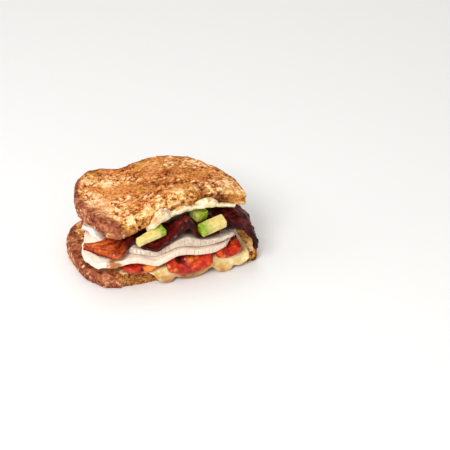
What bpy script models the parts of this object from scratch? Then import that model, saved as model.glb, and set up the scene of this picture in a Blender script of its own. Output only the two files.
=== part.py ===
"""Half of a grilled turkey, bacon and avocado melt on multigrain bread, cut side forward.

Lengths below are in millimetres, and place() turns them into metres. While the pieces are worked
out, X runs along the cut from left to right, Y runs from the cut (0) back to the crust, and Z is
up from the plate. place() then moves the origin to the middle of the underside.
"""

import math

import bpy
import numpy as np

MM = 0.001
CLEARANCE = 0.3  # between pieces that lie on each other
FOOT_CENTRE = (-8.0, 38.0)  # the point of the plan that becomes the origin

# Thicknesses, from the bottom up.
LOWER_BREAD = 10.6
CHEESE = 2.3
TOMATO = 4.6
TURKEY = 4.7
BACON = 2.4
UPPER_MELT = 2.4
UPPER_BREAD = 11.4

PINCH = 2.0  # how much the knife pressed the lower slice together along the cut
CORNER = 1.2  # radius at the edges of the cut, which cheese and tomato bend over
CRUST_BULGE = 2.2
CUT_BULGE = 0.5
CUT_REACH = 1.6  # how far the crumb stands out at most, crags and all

# The lower slice's plan: its cut, the loaf's domed crust on the left, and its side wall behind.
LOWER_FRONT = ((-46, 1.2), (-14, 1.0), (18, 1.0), (50, 1.4))
LOWER_LEFT = ((-46, 1.2), (-57, 6), (-65, 20), (-68, 38), (-67.5, 54), (-62, 69))
LOWER_BACK = ((-62, 69), (-52, 77), (-39, 79), (-24, 76), (0, 77.5), (24, 75.5), (41, 69.5))
LOWER_RIGHT = ((50, 1.4), (54, 16), (54.5, 38), (50, 56), (41, 69.5))

# The upper slice's plan, and the heights of its toasted face along the cut and along the back.
UPPER_FRONT = ((-45, 0), (-28, 1.5), (-11, 5.5), (10, 7.0), (44, 8))
UPPER_LEFT = ((-45, 0), (-53, 6), (-59.5, 19), (-62, 37), (-60.5, 54), (-54.5, 68))
UPPER_BACK = ((-54.5, 68), (-47, 74), (-37, 75.5), (-25, 71), (-12, 75), (6, 77.5), (24, 71))
UPPER_RIGHT = ((44, 8), (44, 26), (38, 48), (24, 71))
ROOF_FRONT = ((-60, 48), (-45, 49.5), (-28, 54.5), (-11, 60), (8, 62.5), (24, 61), (48, 54))
ROOF_BACK = ((-60, 51), (-30, 50.5), (0, 51.5), (24, 50.5), (48, 47))
HELD_UP = 3.2  # the flap of turkey holds the slice up near its left end

# Drips of cheese down the cut: where along it, half width and length.
DRIPS = ((-15.0, 8.0, 6.4), (2.5, 15.5, 6.2), (26.6, 8.6, 6.6), (37, 7.0, 4.4))
DRIP_TOE = 2.0  # how far a long drip spreads out where it meets the plate
CHEESE_LEFT, CHEESE_RIGHT, CHEESE_BACK = -38.0, 44.5, 68.0
CHEESE_SHORT = 3.0  # how far from the cut the cheese ends where it doesn't reach it, on the left
CHEESE_FLAT = 4.0  # where its flat part begins, measured back from the cut

# Tomato slices: centre along the cut, middle of the depth, half width and half depth.
TOMATOES = (
    ("tomato_front_left", -31.5, 18.0, 12.5, 22.5),
    ("tomato_front_middle", 1.6, 14.5, 16.2, 24.8),
    ("tomato_front_right", 30.4, 14.2, 8.6, 20.1),
    ("tomato_rear_left", -40.5, 56.5, 15.0, 11.5),
    ("tomato_rear_middle", -4.5, 56.5, 17.0, 11.5),
    ("tomato_rear_right", 29.5, 50.0, 12.5, 12.0),
)
RISE_FROM, RISE = 20.0, 0.1  # the fillings climb towards the right end

# The lower slice of turkey: its plan, and how far it is lifted off what lies below, along the cut.
TURKEY_FRONT = ((-52, -1), (-38, -3), (-20, -4.5), (0, -4.5), (15, -4), (28, -1))
TURKEY_LEFT = ((-52, -1), (-61, 8), (-65, 24), (-60, 38), (-53, 52), (-48, 65))
TURKEY_BACK = ((-48, 65), (-26, 70), (2, 71), (32, 66))
TURKEY_RIGHT = ((28, -1), (37, 13), (40.5, 38), (32, 66))
TURKEY_LIFT = (
    *((-60, -1), (-54, -0.8), (-47, 0.5), (-41, 2.0), (-35, 2.6), (-28, 1.0), (-21, 0.2), (-14, 1.8)),
    *((-7, 3.6), (0, 3.2), (7, 1.4), (14, 0.5), (24, -0.2), (30, -0.2)),
)
DIP_AT, DIP = -22.0, 1.5  # it sags there in front, between two tomatoes

# The upper slice of turkey, whose left edge is folded up into a flap.
FOLD_FRONT = ((-36, 0), (-20, -1.8), (4, -2.4), (34, 0.0))
FOLD_LEFT = ((-36, 0), (-48, 12), (-60, 22), (-62, 34), (-56, 50), (-46, 64))
FOLD_BACK = ((-46, 64), (-22, 69), (4, 70), (31, 65))
FOLD_RIGHT = ((34, 0.0), (40, 14), (41.5, 38), (31, 65))
FLAP, FLAP_AT, FLAP_WIDTH = 10.0, 25.0, 11.0
CREST, CREST_AT, CREST_WIDTH = 2.8, 0.5, 9.0  # it is thicker there, under the arch of bacon
THIN_END = 1.8  # the slices thin out at their right ends

# Strips of bacon, each between the line of its front edge and the line of its back edge.
BACON_FRONT = (
    *((-67, 15, 28.6), (-58, 5, 27.6), (-49, -4, 28.2), (-42, 0, 31.0), (-36, 3, 34), (-29, -2, 31.2)),
    *((-22, -4, 29.4), (-15, -4.5, 32.2), (-9, -4.5, 36), (-4, -4, 39.8), (0.5, -3.5, 41.4), (4, -3, 39.5)),
    *((7.6, -3, 33.4), (12, -2, 31), (24, 0, 31)),
)
BACON_BACK = (
    *((-66, 17, 29.6), (-59, 12.5, 31.6), (-51, 12, 34), (-43, 16, 34), (-36, 19, 33.5), (-29, 20, 32.5)),
    *((-22, 20, 32), (-15, 19, 32), (-9, 18, 32.2), (-4, 18, 32.6), (0.5, 18, 32.6), (4, 18, 32.6)),
    *((7.6, 18, 32.2), (12, 18, 32), (24, 18, 32)),
)
BACON_CURL = 1.4
ARCH_AT, ARCH_WIDTH, ARCH_CROWN = 0.0, 7.5, 5.6  # the strip doubles up into an arch there
END_FRONT = ((27, 2, 31.5), (33, 1, 33), (38.5, -2, 32), (44, -3.5, 28), (48.5, -4, 22), (50.5, -3.5, 15.5))
END_BACK = ((27, 22, 33), (33, 24, 35), (39, 24, 36), (46, 23, 33), (51, 21, 26), (53, 19, 18))

# Avocado: centre, length, width, thickness, how much narrower the left end is, and in degrees the
# turn in plan, the tilt to the front and the rise to the right.
AVOCADOS = (
    ("avocado_left", (-25.0, -2.6, 38.2), 22.0, 8.2, 5.4, 0.6, 22, 18, 9),
    ("avocado_right", (18.5, -1.8, 37.4), 19.5, 8.4, 6.4, 0.0, 10, 16, 8),
    ("avocado_back", (12.8, 9.4, 41.6), 9.5, 9.5, 7.0, 0.0, 20, 8, 0),
)

# White melt under the upper slice, and the lump of it that wells up over the cut.
MELT_LEFT, MELT_RIGHT = -26.5, 37.0
LUMPS = ((-17.5, 8.0, 9.0), (-2.0, 8.0, 3.2), (16.5, 9.0, 5.0))  # where along the cut, half width and height
LUMP_SWELL = 0.9  # how much thicker the melt is on a lump

CRUMB = ("multigrain_crumb", (0.58, 0.34, 0.14), 0.85)
GOLDEN = ("melted_cheese", (0.90, 0.74, 0.42), 0.35)
WHITE = ("white_melt", (0.90, 0.84, 0.68), 0.35)
RED = ("tomato_flesh", (0.66, 0.06, 0.02), 0.25)
PALE = ("turkey_breast", (0.82, 0.74, 0.64), 0.55)
CURED = ("fried_bacon", (0.22, 0.03, 0.02), 0.35)
GREEN = ("avocado_flesh", (0.66, 0.70, 0.24), 0.45)


def smooth(low, high, value):
    """0 on the low side, 1 on the high side, and an S-curve between them."""
    t = np.clip((value - low) / (high - low), 0.0, 1.0)
    return t * t * (3.0 - 2.0 * t)


def bell(value, centre, width):
    """A rounded bump of height 1 round centre."""
    return np.exp(-(((value - centre) / width) ** 2))


def through(points, where):
    """A smooth curve through a few points, read at where (0 at the first point, 1 at the last)."""
    points = np.asarray(points, float)
    before, after = 2 * points[0] - points[1], 2 * points[-1] - points[-2]
    ring = np.vstack([before, points, after])
    steps = np.clip(np.asarray(where, float), 0, 1) * (len(points) - 1)
    i = np.minimum(steps.astype(int), len(points) - 2)
    t = (steps - i)[..., None]
    a, b, c, d = ring[i], ring[i + 1], ring[i + 2], ring[i + 3]
    cubic = (3 * b - a - 3 * c + d) * t**3
    return 0.5 * (2 * b + (c - a) * t + (2 * a - 5 * b + 4 * c - d) * t**2 + cubic)


def height_along(profile, x):
    """The height at x of a smooth profile given as (x, z) points, flat beyond its ends."""
    line = through(profile, np.linspace(0, 1, 400))
    return np.interp(x, line[:, 0], line[:, 1])


def grid(across, deep):
    """Two arrays of parameters: u from left to right and v from the cut to the back."""
    return np.meshgrid(np.asarray(across, float), np.asarray(deep, float), indexing="ij")


def filled(front, back, left, right, u, v):
    """The plan between four edges that meet at their ends: a Coons patch.

    It is the blend of front and back, plus the blend of left and right, less the blend of corners.
    """
    near, far = through(front, u), through(back, u)
    first, last = through(left, v), through(right, v)
    corner = [np.asarray(edge[k], float) for edge in (front, back) for k in (0, -1)]
    u, v = u[..., None], v[..., None]
    near_blend = (1 - u) * corner[0] + u * corner[1]
    far_blend = (1 - u) * corner[2] + u * corner[3]
    return (1 - v) * (near - near_blend) + v * (far - far_blend) + (1 - u) * first + u * last


def normals(middle):
    """Unit normals of a grid of points, on the side that faces up or forward."""
    n = np.cross(np.gradient(middle, axis=0), np.gradient(middle, axis=1))
    return n / np.linalg.norm(n, axis=-1, keepdims=True)


def border(shape):
    """The rim of a grid as (i, j) pairs, anticlockwise seen from above, each once."""
    a, b = shape[0] - 1, shape[1] - 1
    loop = [(i, 0) for i in range(a)] + [(a, j) for j in range(b)]
    loop += [(i, b) for i in range(a, 0, -1)] + [(0, j) for j in range(b, 0, -1)]
    return np.array(loop)


def slab(middle, up, thick, bulge, square=0.8, rounds=2):
    """Points and faces of a closed solid round a grid of middle points.

    Its two faces lie half the thickness either side of the middle. Round the rim runs a profile
    from the upper face to the lower one: bulge * sin(a) ** square outwards and half the thickness
    * cos(a) ** square up, so that square 1 is a half round and 0.3 is nearly a box.
    """
    rows, columns = middle.shape[:2]
    up = np.broadcast_to(up, middle.shape)
    half = np.broadcast_to(thick, (rows, columns))[..., None] / 2
    loop = border(middle.shape)
    i, j = loop[:, 0], loop[:, 1]
    edge, lift = middle[i, j], up[i, j]
    out = np.cross(np.roll(edge, -1, 0) - np.roll(edge, 1, 0), lift)
    out /= np.linalg.norm(out, axis=1, keepdims=True)
    bulge = np.broadcast_to(bulge, len(loop))[:, None]
    square = np.broadcast_to(square, len(loop))[:, None]
    rings = []
    for a in np.linspace(0, math.pi, rounds + 2)[1:-1]:
        rise = np.sign(round(math.cos(a), 9)) * abs(math.cos(a)) ** square
        rings.append(edge + out * bulge * math.sin(a) ** square + lift * half[i, j] * rise)
    upper, lower = middle + up * half, middle - up * half
    points = np.vstack([upper.reshape(-1, 3), lower.reshape(-1, 3), *rings])
    number = np.arange(rows * columns).reshape(rows, columns)
    cells = [number[:-1, :-1], number[1:, :-1], number[1:, 1:], number[:-1, 1:]]
    faces = [np.stack(cells, -1).reshape(-1, 4), np.stack(cells[::-1], -1).reshape(-1, 4) + number.size]
    bands = [number[i, j]]
    bands += [2 * number.size + k * len(loop) + np.arange(len(loop)) for k in range(rounds)]
    bands.append(number[i, j] + number.size)
    for high, low in zip(bands[:-1], bands[1:]):
        faces.append(np.stack([high, low, np.roll(low, -1), np.roll(high, -1)], -1))
    return points, np.vstack(faces)


def place(name, solid, finish):
    """Makes the named object of a sub-part, in metres and about the part's own origin."""
    points, faces = solid
    moved = (points - np.array([*FOOT_CENTRE, 0.0])) * MM
    mesh = bpy.data.meshes.new(name)
    mesh.from_pydata(moved.tolist(), [], faces.tolist())
    mesh.shade_smooth()
    mesh.set_sharp_from_angle(angle=math.radians(50))
    piece = bpy.data.objects.new(name, mesh)
    bpy.context.scene.collection.objects.link(piece)
    material = bpy.data.materials.get(finish[0]) or bpy.data.materials.new(finish[0])
    material.use_nodes = True
    shader = material.node_tree.nodes["Principled BSDF"]
    shader.inputs["Base Color"].default_value = (*finish[1], 1.0)
    shader.inputs["Roughness"].default_value = finish[2]
    mesh.materials.append(material)


def crags(points, depth, seed):
    """A height for each point from waves in seeded directions, uneven like baked bread."""
    draw = np.random.default_rng(seed)
    height = np.zeros(len(points))
    for size in (5.5, 7.5, 10.0, 14.0, 19.0):
        way = draw.normal(size=3)
        way *= 2 * math.pi / size / np.linalg.norm(way)
        height += np.sin(points @ way + draw.uniform(0, 2 * math.pi))
    return depth * height / 3.0


def slice_of_bread(plan, top, under, rough_top, seed):
    """A slice between two faces, with crust on three sides and crags where it shows."""
    middle = np.dstack([plan, (top + under) / 2])
    loop = border(plan.shape)
    cut = loop[:, 1] == 0
    bulge = np.where(cut, CUT_BULGE, CRUST_BULGE)
    square = np.where(cut, 0.35, 0.62)
    points, faces = slab(middle, (0.0, 0.0, 1.0), top - under, bulge, square, rounds=4)
    rough = crags(points, 0.5, seed)
    count = top.size
    points[:count, 2] += rough[:count] * rough_top
    walls = slice(2 * count, None)
    centre = plan.mean(axis=(0, 1))
    away = points[walls, :2] - centre
    away /= np.linalg.norm(away, axis=1, keepdims=True)
    points[walls, :2] += away * rough[walls, None]
    return points, faces


def lower_face(x, y):
    """The upper face of the lower slice, pressed together along the cut."""
    pinch = PINCH * (1 - smooth(1, 26, y)) * smooth(-48, -26, x)
    return LOWER_BREAD - pinch


def lower_bread():
    """The slice that everything lies on, flat below."""
    u, v = grid(np.linspace(0, 1, 27), np.linspace(0, 1, 11) ** 1.2)
    plan = filled(LOWER_FRONT, LOWER_BACK, LOWER_LEFT, LOWER_RIGHT, u, v)
    top = lower_face(plan[..., 0], plan[..., 1])
    place("bread_lower", slice_of_bread(plan, top, 0 * top, 0.0, seed=4), CRUMB)


def held(x, y):
    """Where the flap of turkey holds the upper slice up: 1 over the flap, 0 away from it."""
    return bell(y, 17, 13) * smooth(-44, -57, x)


def roof(x, y):
    """The toasted face of the upper slice, from its profile along the cut to the one behind."""
    back = np.clip(y / 76, 0, 1) ** 1.2
    dome = height_along(ROOF_FRONT, x) * (1 - back) + height_along(ROOF_BACK, x) * back
    return dome + HELD_UP * held(x, y)


def ceiling(x, y):
    """The underside of the upper slice, which is pressed thinner at its near left corner."""
    pressed = 1.2 * bell(x, -44, 18) * (1 - smooth(0, 16, y)) + 1.4 * held(x, y)
    return roof(x, y) - UPPER_BREAD + pressed


def upper_bread():
    """The toasted slice on top."""
    u, v = grid(np.linspace(0, 1, 27), np.linspace(0, 1, 15))
    plan = filled(UPPER_FRONT, UPPER_BACK, UPPER_LEFT, UPPER_RIGHT, u, v)
    x, y = plan[..., 0], plan[..., 1]
    place("bread_upper", slice_of_bread(plan, roof(x, y), ceiling(x, y), 0.8, seed=9), CRUMB)


def over_edge(x, run, gap):
    """Points that keep a gap off the lower slice, and the directions away from it.

    run is the length along the section: back over the upper face where it is positive, and round
    the cut edge and straight down where it is negative.
    """
    radius = CORNER + gap
    angle = np.clip(-run / radius, 0, math.pi / 2)
    drop = np.clip(-run - radius * math.pi / 2, 0, None)
    y = CORNER + np.clip(run, 0, None) - radius * np.sin(angle)
    z = lower_face(x, np.maximum(y, 0)) - CORNER + radius * np.cos(angle) - drop
    return np.stack([x, y, z], -1), np.stack([0 * x, -np.sin(angle), np.cos(angle)], -1)


def lobe(x, where, width, length):
    """How far a drip or a lump reaches at x: nearly a parabola of that half width and length."""
    return (length - 1.0) * np.clip(1 - ((x - where) / width) ** 2, 0, 1) ** 0.8


def lower_cheese():
    """A sheet that lies on the lower slice, bends over its cut edge and hangs down in drips."""
    deep = [-1, -0.84, -0.7, -0.56, -0.42, -0.3, -0.16, 0, 0.12, 0.25, 0.42, 0.7, 1]
    u, v = grid(np.linspace(0, 1, 37), deep)
    x = CHEESE_LEFT + (CHEESE_RIGHT - CHEESE_LEFT) * u
    hang = 1.0 + sum(lobe(x, where, width, length) ** 5 for where, width, length in DRIPS) ** 0.2
    gap = CLEARANCE + CHEESE / 2
    bend = (CORNER + gap) * math.pi / 2
    back = CHEESE_BACK - 10 * bell(x, CHEESE_RIGHT, 14) - 6 * bell(x, CHEESE_LEFT, 12)
    reach = smooth(-35, -20, x)
    edge = CHEESE_SHORT * (1 - reach) - (bend + hang) * reach
    run = CHEESE_FLAT + np.where(v > 0, v * (back - CHEESE_FLAT), v * (CHEESE_FLAT - edge))
    middle, up = over_edge(x, run, gap)
    toe = smooth(-0.7, -1, v) * reach
    middle[..., 1] -= (DRIP_TOE * smooth(3, 6.5, hang) + 0.2 * CHEESE) * toe
    thick = CHEESE * (1 + 0.4 * toe - 0.3 * (1 - reach))
    place("cheese_lower", slab(middle, up, thick, 0.9), GOLDEN)


def climb(x):
    """How much higher the fillings lie towards the right end."""
    return RISE * np.clip(x - RISE_FROM, 0, None)


def tomato(name, centre, middle_run, half_width, half_depth):
    """A roasted slice of tomato that lies on the cheese and droops over the cut.

    Its plan is a rounded square: each side of the parameter square is drawn in towards its ends.
    """
    u, v = grid(np.linspace(-1, 1, 9), np.array([-1, -0.88, -0.76, -0.64, -0.5, -0.25, 0.15, 0.6, 1]))
    x = centre + half_width * u * (0.6 + 0.4 * np.sqrt(1 - v**2 / 2))
    run = middle_run + half_depth * v * (0.6 + 0.4 * np.sqrt(1 - u**2 / 2))
    middle, up = over_edge(x, run, 2 * CLEARANCE + CHEESE + TOMATO / 2)
    middle[..., 2] += climb(x)
    place(name, slab(middle, up, TOMATO, 1.6), RED)


def turkey_height(x, y):
    """The middle of the lower slice of turkey, which lies on the tomatoes and is wavy along the cut."""
    level = lower_face(x, y) + 4 * CLEARANCE + CHEESE + TOMATO + TURKEY / 2 + climb(x)
    lift = height_along(TURKEY_LIFT, x) * (1 - smooth(0, 34, y))
    return level + lift - DIP * bell(x, DIP_AT, 5) * smooth(0, -4.5, y)


def thinned(x, y):
    """How much thinner a slice of turkey is near the right end of the cut."""
    return THIN_END * smooth(17, 31, x) * (1 - smooth(3, 14, y))


def lower_turkey():
    """The slice that shows whitest along the cut and hangs over the left end."""
    u, v = grid(np.linspace(0, 1, 22), [0, 0.07, 0.18, 0.32, 0.46, 0.65, 0.85, 1])
    plan = filled(TURKEY_FRONT, TURKEY_BACK, TURKEY_LEFT, TURKEY_RIGHT, u, v)
    x, y = plan[..., 0], plan[..., 1]
    overhang = 4.2 * smooth(-53, -65, x) * (1 - smooth(30, 44, y))
    middle = np.dstack([plan, turkey_height(x, y) - overhang])
    place("turkey_lower", slab(middle, (0.0, 0.0, 1.0), TURKEY - thinned(x, y), 1.2, square=0.6), PALE)


def fold_height(x, y):
    """The middle of the upper slice of turkey: on the lower one, with a flap and a raised back."""
    flap = FLAP * bell(y, FLAP_AT, FLAP_WIDTH) * smooth(-47, -60, x)
    back = 5.0 * smooth(52, 68, y) * (0.7 + 0.3 * np.sin(x / 6))
    return turkey_height(x, y) + TURKEY + 2 * CLEARANCE + flap + back


def upper_turkey():
    """The slice set back on the lower one, folded up at the left end."""
    u, v = grid(np.linspace(0, 1, 22), [0, 0.07, 0.18, 0.32, 0.46, 0.65, 0.85, 1])
    plan = filled(FOLD_FRONT, FOLD_BACK, FOLD_LEFT, FOLD_RIGHT, u, v)
    x, y = plan[..., 0], plan[..., 1]
    crest = CREST * bell(x, CREST_AT, CREST_WIDTH) * (1 - smooth(2, 14, y))
    middle = np.dstack([plan, fold_height(x, y) + crest / 2])
    thick = TURKEY + crest - 1.6 * smooth(-52, -60, x) - thinned(x, y)
    place("turkey_upper", slab(middle, (0.0, 0.0, 1.0), thick, 1.2, square=0.6), PALE)


def bacon(name, front, back, columns, ripple, crown=0.0):
    """A strip between its two edges, rippled across its middle and curled down along the cut."""
    u, v = grid(np.linspace(0, 1, columns), [0, 0.13, 0.3, 0.62, 1])
    near, far = through(front, u), through(back, u)
    middle = near + (far - near) * v[..., None]
    middle[..., 2] += ripple * np.sin(v * math.pi) * np.sin(u * columns * 0.7)
    middle[..., 2] += crown * bell(middle[..., 0], ARCH_AT, ARCH_WIDTH) * np.sin(math.pi * v**0.6)
    middle[..., 2] -= BACON_CURL * np.clip(1 - v / 0.3, 0, 1) ** 2
    place(name, slab(middle, normals(middle), BACON, 0.7), CURED)


def bacon_strips():
    """Two strips that show along the cut and two that lie behind them."""
    bacon("bacon_front", BACON_FRONT, BACON_BACK, 38, 0.3, ARCH_CROWN)
    bacon("bacon_right", END_FRONT, END_BACK, 16, 0.3)
    for name, near, far, phase in (("bacon_middle", 27, 46, 0.0), ("bacon_rear", 49, 67, 2.0)):
        x = np.linspace(-50, 38, 15)
        base = [fold_height(x, np.full_like(x, y)) + TURKEY / 2 + 3.0 for y in (near, far)]
        room = [ceiling(x, np.full_like(x, y)) - UPPER_MELT - 2.6 - b for y, b in zip((near, far), base)]
        wave = 0.5 + 0.42 * np.sin(x / 5.6 + phase)
        front = np.stack([x, np.full_like(x, near), base[0] + room[0] * wave], -1)
        back = np.stack([x, np.full_like(x, far), base[1] + room[1] * wave], -1)
        bacon(name, front, back, 22, 0.0)


def avocado(name, centre, length, width, thick, taper, turn, tilt, rise):
    """A chunk of avocado with rounded edges, turned in plan, tilted to the front and raised right."""
    u, v = grid(np.linspace(-1, 1, 7), np.linspace(-1, 1, 5))
    turn, tilt, rise = math.radians(turn), math.radians(tilt), math.radians(rise)
    along = np.array([math.cos(turn) * math.cos(rise), math.sin(turn) * math.cos(rise), math.sin(rise)])
    deep = np.array([-math.sin(turn) * math.cos(tilt), math.cos(turn) * math.cos(tilt), math.sin(tilt)])
    up = np.cross(along, deep)
    up /= np.linalg.norm(up)
    half_length, half_width = length / 2 - 1.2, width / 2 - 1.2
    narrow = half_width * taper * (1 - u)
    middle = np.array(centre) + along * (half_length * u)[..., None]
    middle = middle + deep * (half_width * v + 0.5 * narrow * (1 - v))[..., None]
    place(name, slab(middle, up, thick, 1.2, square=0.6, rounds=3), GREEN)


def upper_melt():
    """A white sheet under the upper slice, with a lump that wells up over the cut."""
    u, v = grid(np.linspace(0, 1, 23), [-2, -1.5, -1, -0.5, 0, 0.15, 0.5, 1])
    x = MELT_LEFT + (MELT_RIGHT - MELT_LEFT) * u
    turn = math.radians(80)
    radius = CORNER + CLEARANCE + UPPER_MELT / 2
    angle = np.clip(-v, 0, 1) * turn
    lump = sum(lobe(x, where, width, height) for where, width, height in LUMPS)
    up_cut = np.clip(-v - 1, 0, 1) * (1.0 + lump)
    back = np.clip(v, 0, None) * (60 - 8 * bell(x, 40, 20))
    edge = height_along(UPPER_FRONT, x) - CUT_REACH + CORNER
    y = edge + back - radius * np.sin(angle) - up_cut * math.cos(turn)
    z = ceiling(x, edge + back) + CORNER - radius * np.cos(angle) + up_cut * math.sin(turn)
    up = np.stack([0 * x, np.sin(angle), np.cos(angle)], -1)
    thick = UPPER_MELT * (1 + LUMP_SWELL * smooth(0, 6, lump) * smooth(0.3, 1, -v))
    middle = np.stack([x, y, z], -1) - up * [0, 1, 0] * (thick - UPPER_MELT)[..., None] / 2
    place("melt_upper", slab(middle, up, thick, 0.9), WHITE)


def main():
    for old in list(bpy.data.objects):
        bpy.data.objects.remove(old)
    lower_bread()
    lower_cheese()
    for row in TOMATOES:
        tomato(*row)
    lower_turkey()
    upper_turkey()
    bacon_strips()
    for row in AVOCADOS:
        avocado(*row)
    upper_melt()
    upper_bread()


main()
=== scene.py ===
# %% [markdown]
# # Half of a turkey melt
# A lesson in making food look like food in Blender. The sandwich is toasted multigrain bread round
# cheese, roasted tomato, two slices of turkey breast, fried bacon and avocado, cut in two, and this
# is the left half, cut side forward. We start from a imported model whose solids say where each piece
# lies. Each piece here is the same surface, worked out again on a much finer grid, so that it can
# carry pores, fibres, drips and streaks as real relief.

# %% The frame
import math
from collections import namedtuple

import bpy
import numpy as np
from mathutils import Matrix


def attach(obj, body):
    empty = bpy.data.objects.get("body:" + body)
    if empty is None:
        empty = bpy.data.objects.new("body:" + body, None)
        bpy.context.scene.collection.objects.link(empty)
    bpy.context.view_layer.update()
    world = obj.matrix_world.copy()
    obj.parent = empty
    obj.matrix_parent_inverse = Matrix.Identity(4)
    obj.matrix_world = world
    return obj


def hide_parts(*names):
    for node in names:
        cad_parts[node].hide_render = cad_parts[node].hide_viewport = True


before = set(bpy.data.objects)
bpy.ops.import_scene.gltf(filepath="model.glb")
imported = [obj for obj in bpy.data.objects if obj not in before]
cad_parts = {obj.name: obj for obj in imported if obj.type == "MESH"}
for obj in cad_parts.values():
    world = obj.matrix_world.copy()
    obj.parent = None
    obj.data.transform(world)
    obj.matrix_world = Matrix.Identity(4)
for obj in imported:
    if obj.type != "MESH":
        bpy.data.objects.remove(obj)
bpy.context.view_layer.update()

# %% [markdown]
# ## Units
# Lengths are in millimetres in a design frame: X runs along the cut, Y from the cut back to the
# crust, and Z up from the underside. The origin of the finished object is the middle of its underside,
# so every point is moved by that much and scaled to metres when it goes into a mesh.

# %% Units
MM = 0.001
FOOT_CENTRE = np.array((-8.0, 38.0, 0.0))


def paint(text):
    """A linear colour from an sRGB hex value, by the standard's own curve."""
    parts = [int(text[k : k + 2], 16) / 255 for k in (1, 3, 5)]
    return (*(c / 12.92 if c <= 0.04045 else ((c + 0.055) / 1.055) ** 2.4 for c in parts), 1.0)


# %% [markdown]
# ## Camera
# The photograph looks down at 32 degrees and a little from the left, through a long lens. One point
# of the object, the foot of the cut near its left end, is known in the picture, and the camera is
# placed so that this point falls on its pixel without any shift.

# %% Camera
PHOTO_SIDE = 450  # pixels
PHOTO_MM = 0.68  # what one pixel measures on the object
SENSOR_MM = 36.0
AZIMUTH, ELEVATION = -20.0, 32.0
DISTANCE_MM = 1000.0
KNOWN_POINT = np.array((-44.0, 0.0, 0.0))
KNOWN_PIXEL = (125.0, 287.5)


def looking_in(azimuth, elevation):
    """Right, up and backwards, for something that looks at the sandwich from two angles in degrees."""
    a, e = math.radians(azimuth), math.radians(elevation)
    back = np.array((math.sin(a) * math.cos(e), -math.cos(a) * math.cos(e), math.sin(e)))
    right = np.array((math.cos(a), math.sin(a), 0.0))
    return right, np.cross(back, right), back


def put(name, data, axes=np.eye(3), place=(0.0, 0.0, 0.0)):
    """An object in the scene, with those axes, at that place in metres."""
    made = bpy.data.objects.new(name, data)
    made.matrix_world = Matrix.Translation(place) @ Matrix(list(zip(*axes))).to_4x4()
    bpy.context.scene.collection.objects.link(made)
    return made


def camera():
    """The camera at the photograph's angle: its place comes from the known point's pixel."""
    right, up, back = looking_in(AZIMUTH, ELEVATION)
    aside, below = ((known - PHOTO_SIDE / 2) * PHOTO_MM for known in KNOWN_PIXEL)
    place = (KNOWN_POINT - FOOT_CENTRE + back * DISTANCE_MM - right * aside + up * below) * MM
    lens = bpy.data.cameras.new("camera")
    lens.sensor_width = SENSOR_MM
    lens.lens = SENSOR_MM * DISTANCE_MM / PHOTO_MM / PHOTO_SIDE
    bpy.context.scene.camera = put("camera", lens, (right, up, back), place)
    print("camera: lens", round(lens.lens, 1), "mm")


camera()

# %% [markdown]
# ## Curves and blends
# Everything soft in this file is built from a few blends: an S-curve between two limits, a bump,
# a smooth line through a few points, and a patch that fills four lines.

# %% Curves and blends
def smooth(low, high, value):
    """0 at low, 1 at high, and the S-curve 3t^2 - 2t^3 between them."""
    t = np.clip((value - low) / (high - low), 0.0, 1.0)
    return t * t * (3.0 - 2.0 * t)


def bell(value, centre, width):
    """A bump of height 1: e to the power of minus the squared distance over width squared."""
    return np.exp(-(((value - centre) / width) ** 2))


def through(points, where):
    """A Catmull-Rom curve through points, read at where (0 at the first point, 1 at the last)."""
    points = np.asarray(points, float)
    before, after = 2 * points[0] - points[1], 2 * points[-1] - points[-2]
    ring = np.vstack([before, points, after])
    steps = np.clip(np.asarray(where, float), 0, 1) * (len(points) - 1)
    i = np.minimum(steps.astype(int), len(points) - 2)
    t = (steps - i)[..., None]
    a, b, c, d = ring[i], ring[i + 1], ring[i + 2], ring[i + 3]
    cubic = (3 * b - a - 3 * c + d) * t**3
    return 0.5 * (2 * b + (c - a) * t + (2 * a - 5 * b + 4 * c - d) * t**2 + cubic)


def height_along(profile, x):
    """The height at x of a smooth profile given as (x, z) points, flat beyond its ends."""
    line = through(profile, np.linspace(0, 1, 400))
    return np.interp(x, line[:, 0], line[:, 1])


def grid(across, deep):
    """Two arrays of parameters: u from left to right and v from the cut to the back."""
    return np.meshgrid(np.asarray(across, float), np.asarray(deep, float), indexing="ij")


def runs(*stretches):
    """Parameters in several stretches, each given as (from, to, steps), joined end to end."""
    parts = [np.linspace(low, high, steps, endpoint=False) for low, high, steps in stretches]
    return np.concatenate([*parts, [stretches[-1][1]]])


def filled(front, back, left, right, u, v):
    """A Coons patch: the blend of two opposite edges, plus the blend of the others, less the
    blend of the corners."""
    near, far = through(front, u), through(back, u)
    first, last = through(left, v), through(right, v)
    corner = [np.asarray(edge[k], float) for edge in (front, back) for k in (0, -1)]
    u, v = u[..., None], v[..., None]
    near_blend = (1 - u) * corner[0] + u * corner[1]
    far_blend = (1 - u) * corner[2] + u * corner[3]
    return (1 - v) * (near - near_blend) + v * (far - far_blend) + (1 - u) * first + u * last


# %% [markdown]
# ## Slices
# Every layer of a sandwich is a slab: a sheet of middle points with a thickness, closed round its
# rim by a rounded profile. `Slab` also keeps, for each point, which middle point it came from and
# how high on the rim it sits, because colours and relief are worked out from those.

# %% Slabs
Slab = namedtuple("Slab", "points faces where level")


def border(shape):
    """The rim of a grid as (i, j) pairs, anticlockwise seen from above, each once."""
    a, b = shape[0] - 1, shape[1] - 1
    up_right = np.stack([np.full(b, a), np.arange(b)], -1)
    along_back = np.stack([np.arange(a, 0, -1), np.full(a, b)], -1)
    down_left = np.stack([np.zeros(b, int), np.arange(b, 0, -1)], -1)
    return np.vstack([np.stack([np.arange(a), np.zeros(a, int)], -1), up_right, along_back, down_left])


PROFILE_STEPS = 20001


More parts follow.
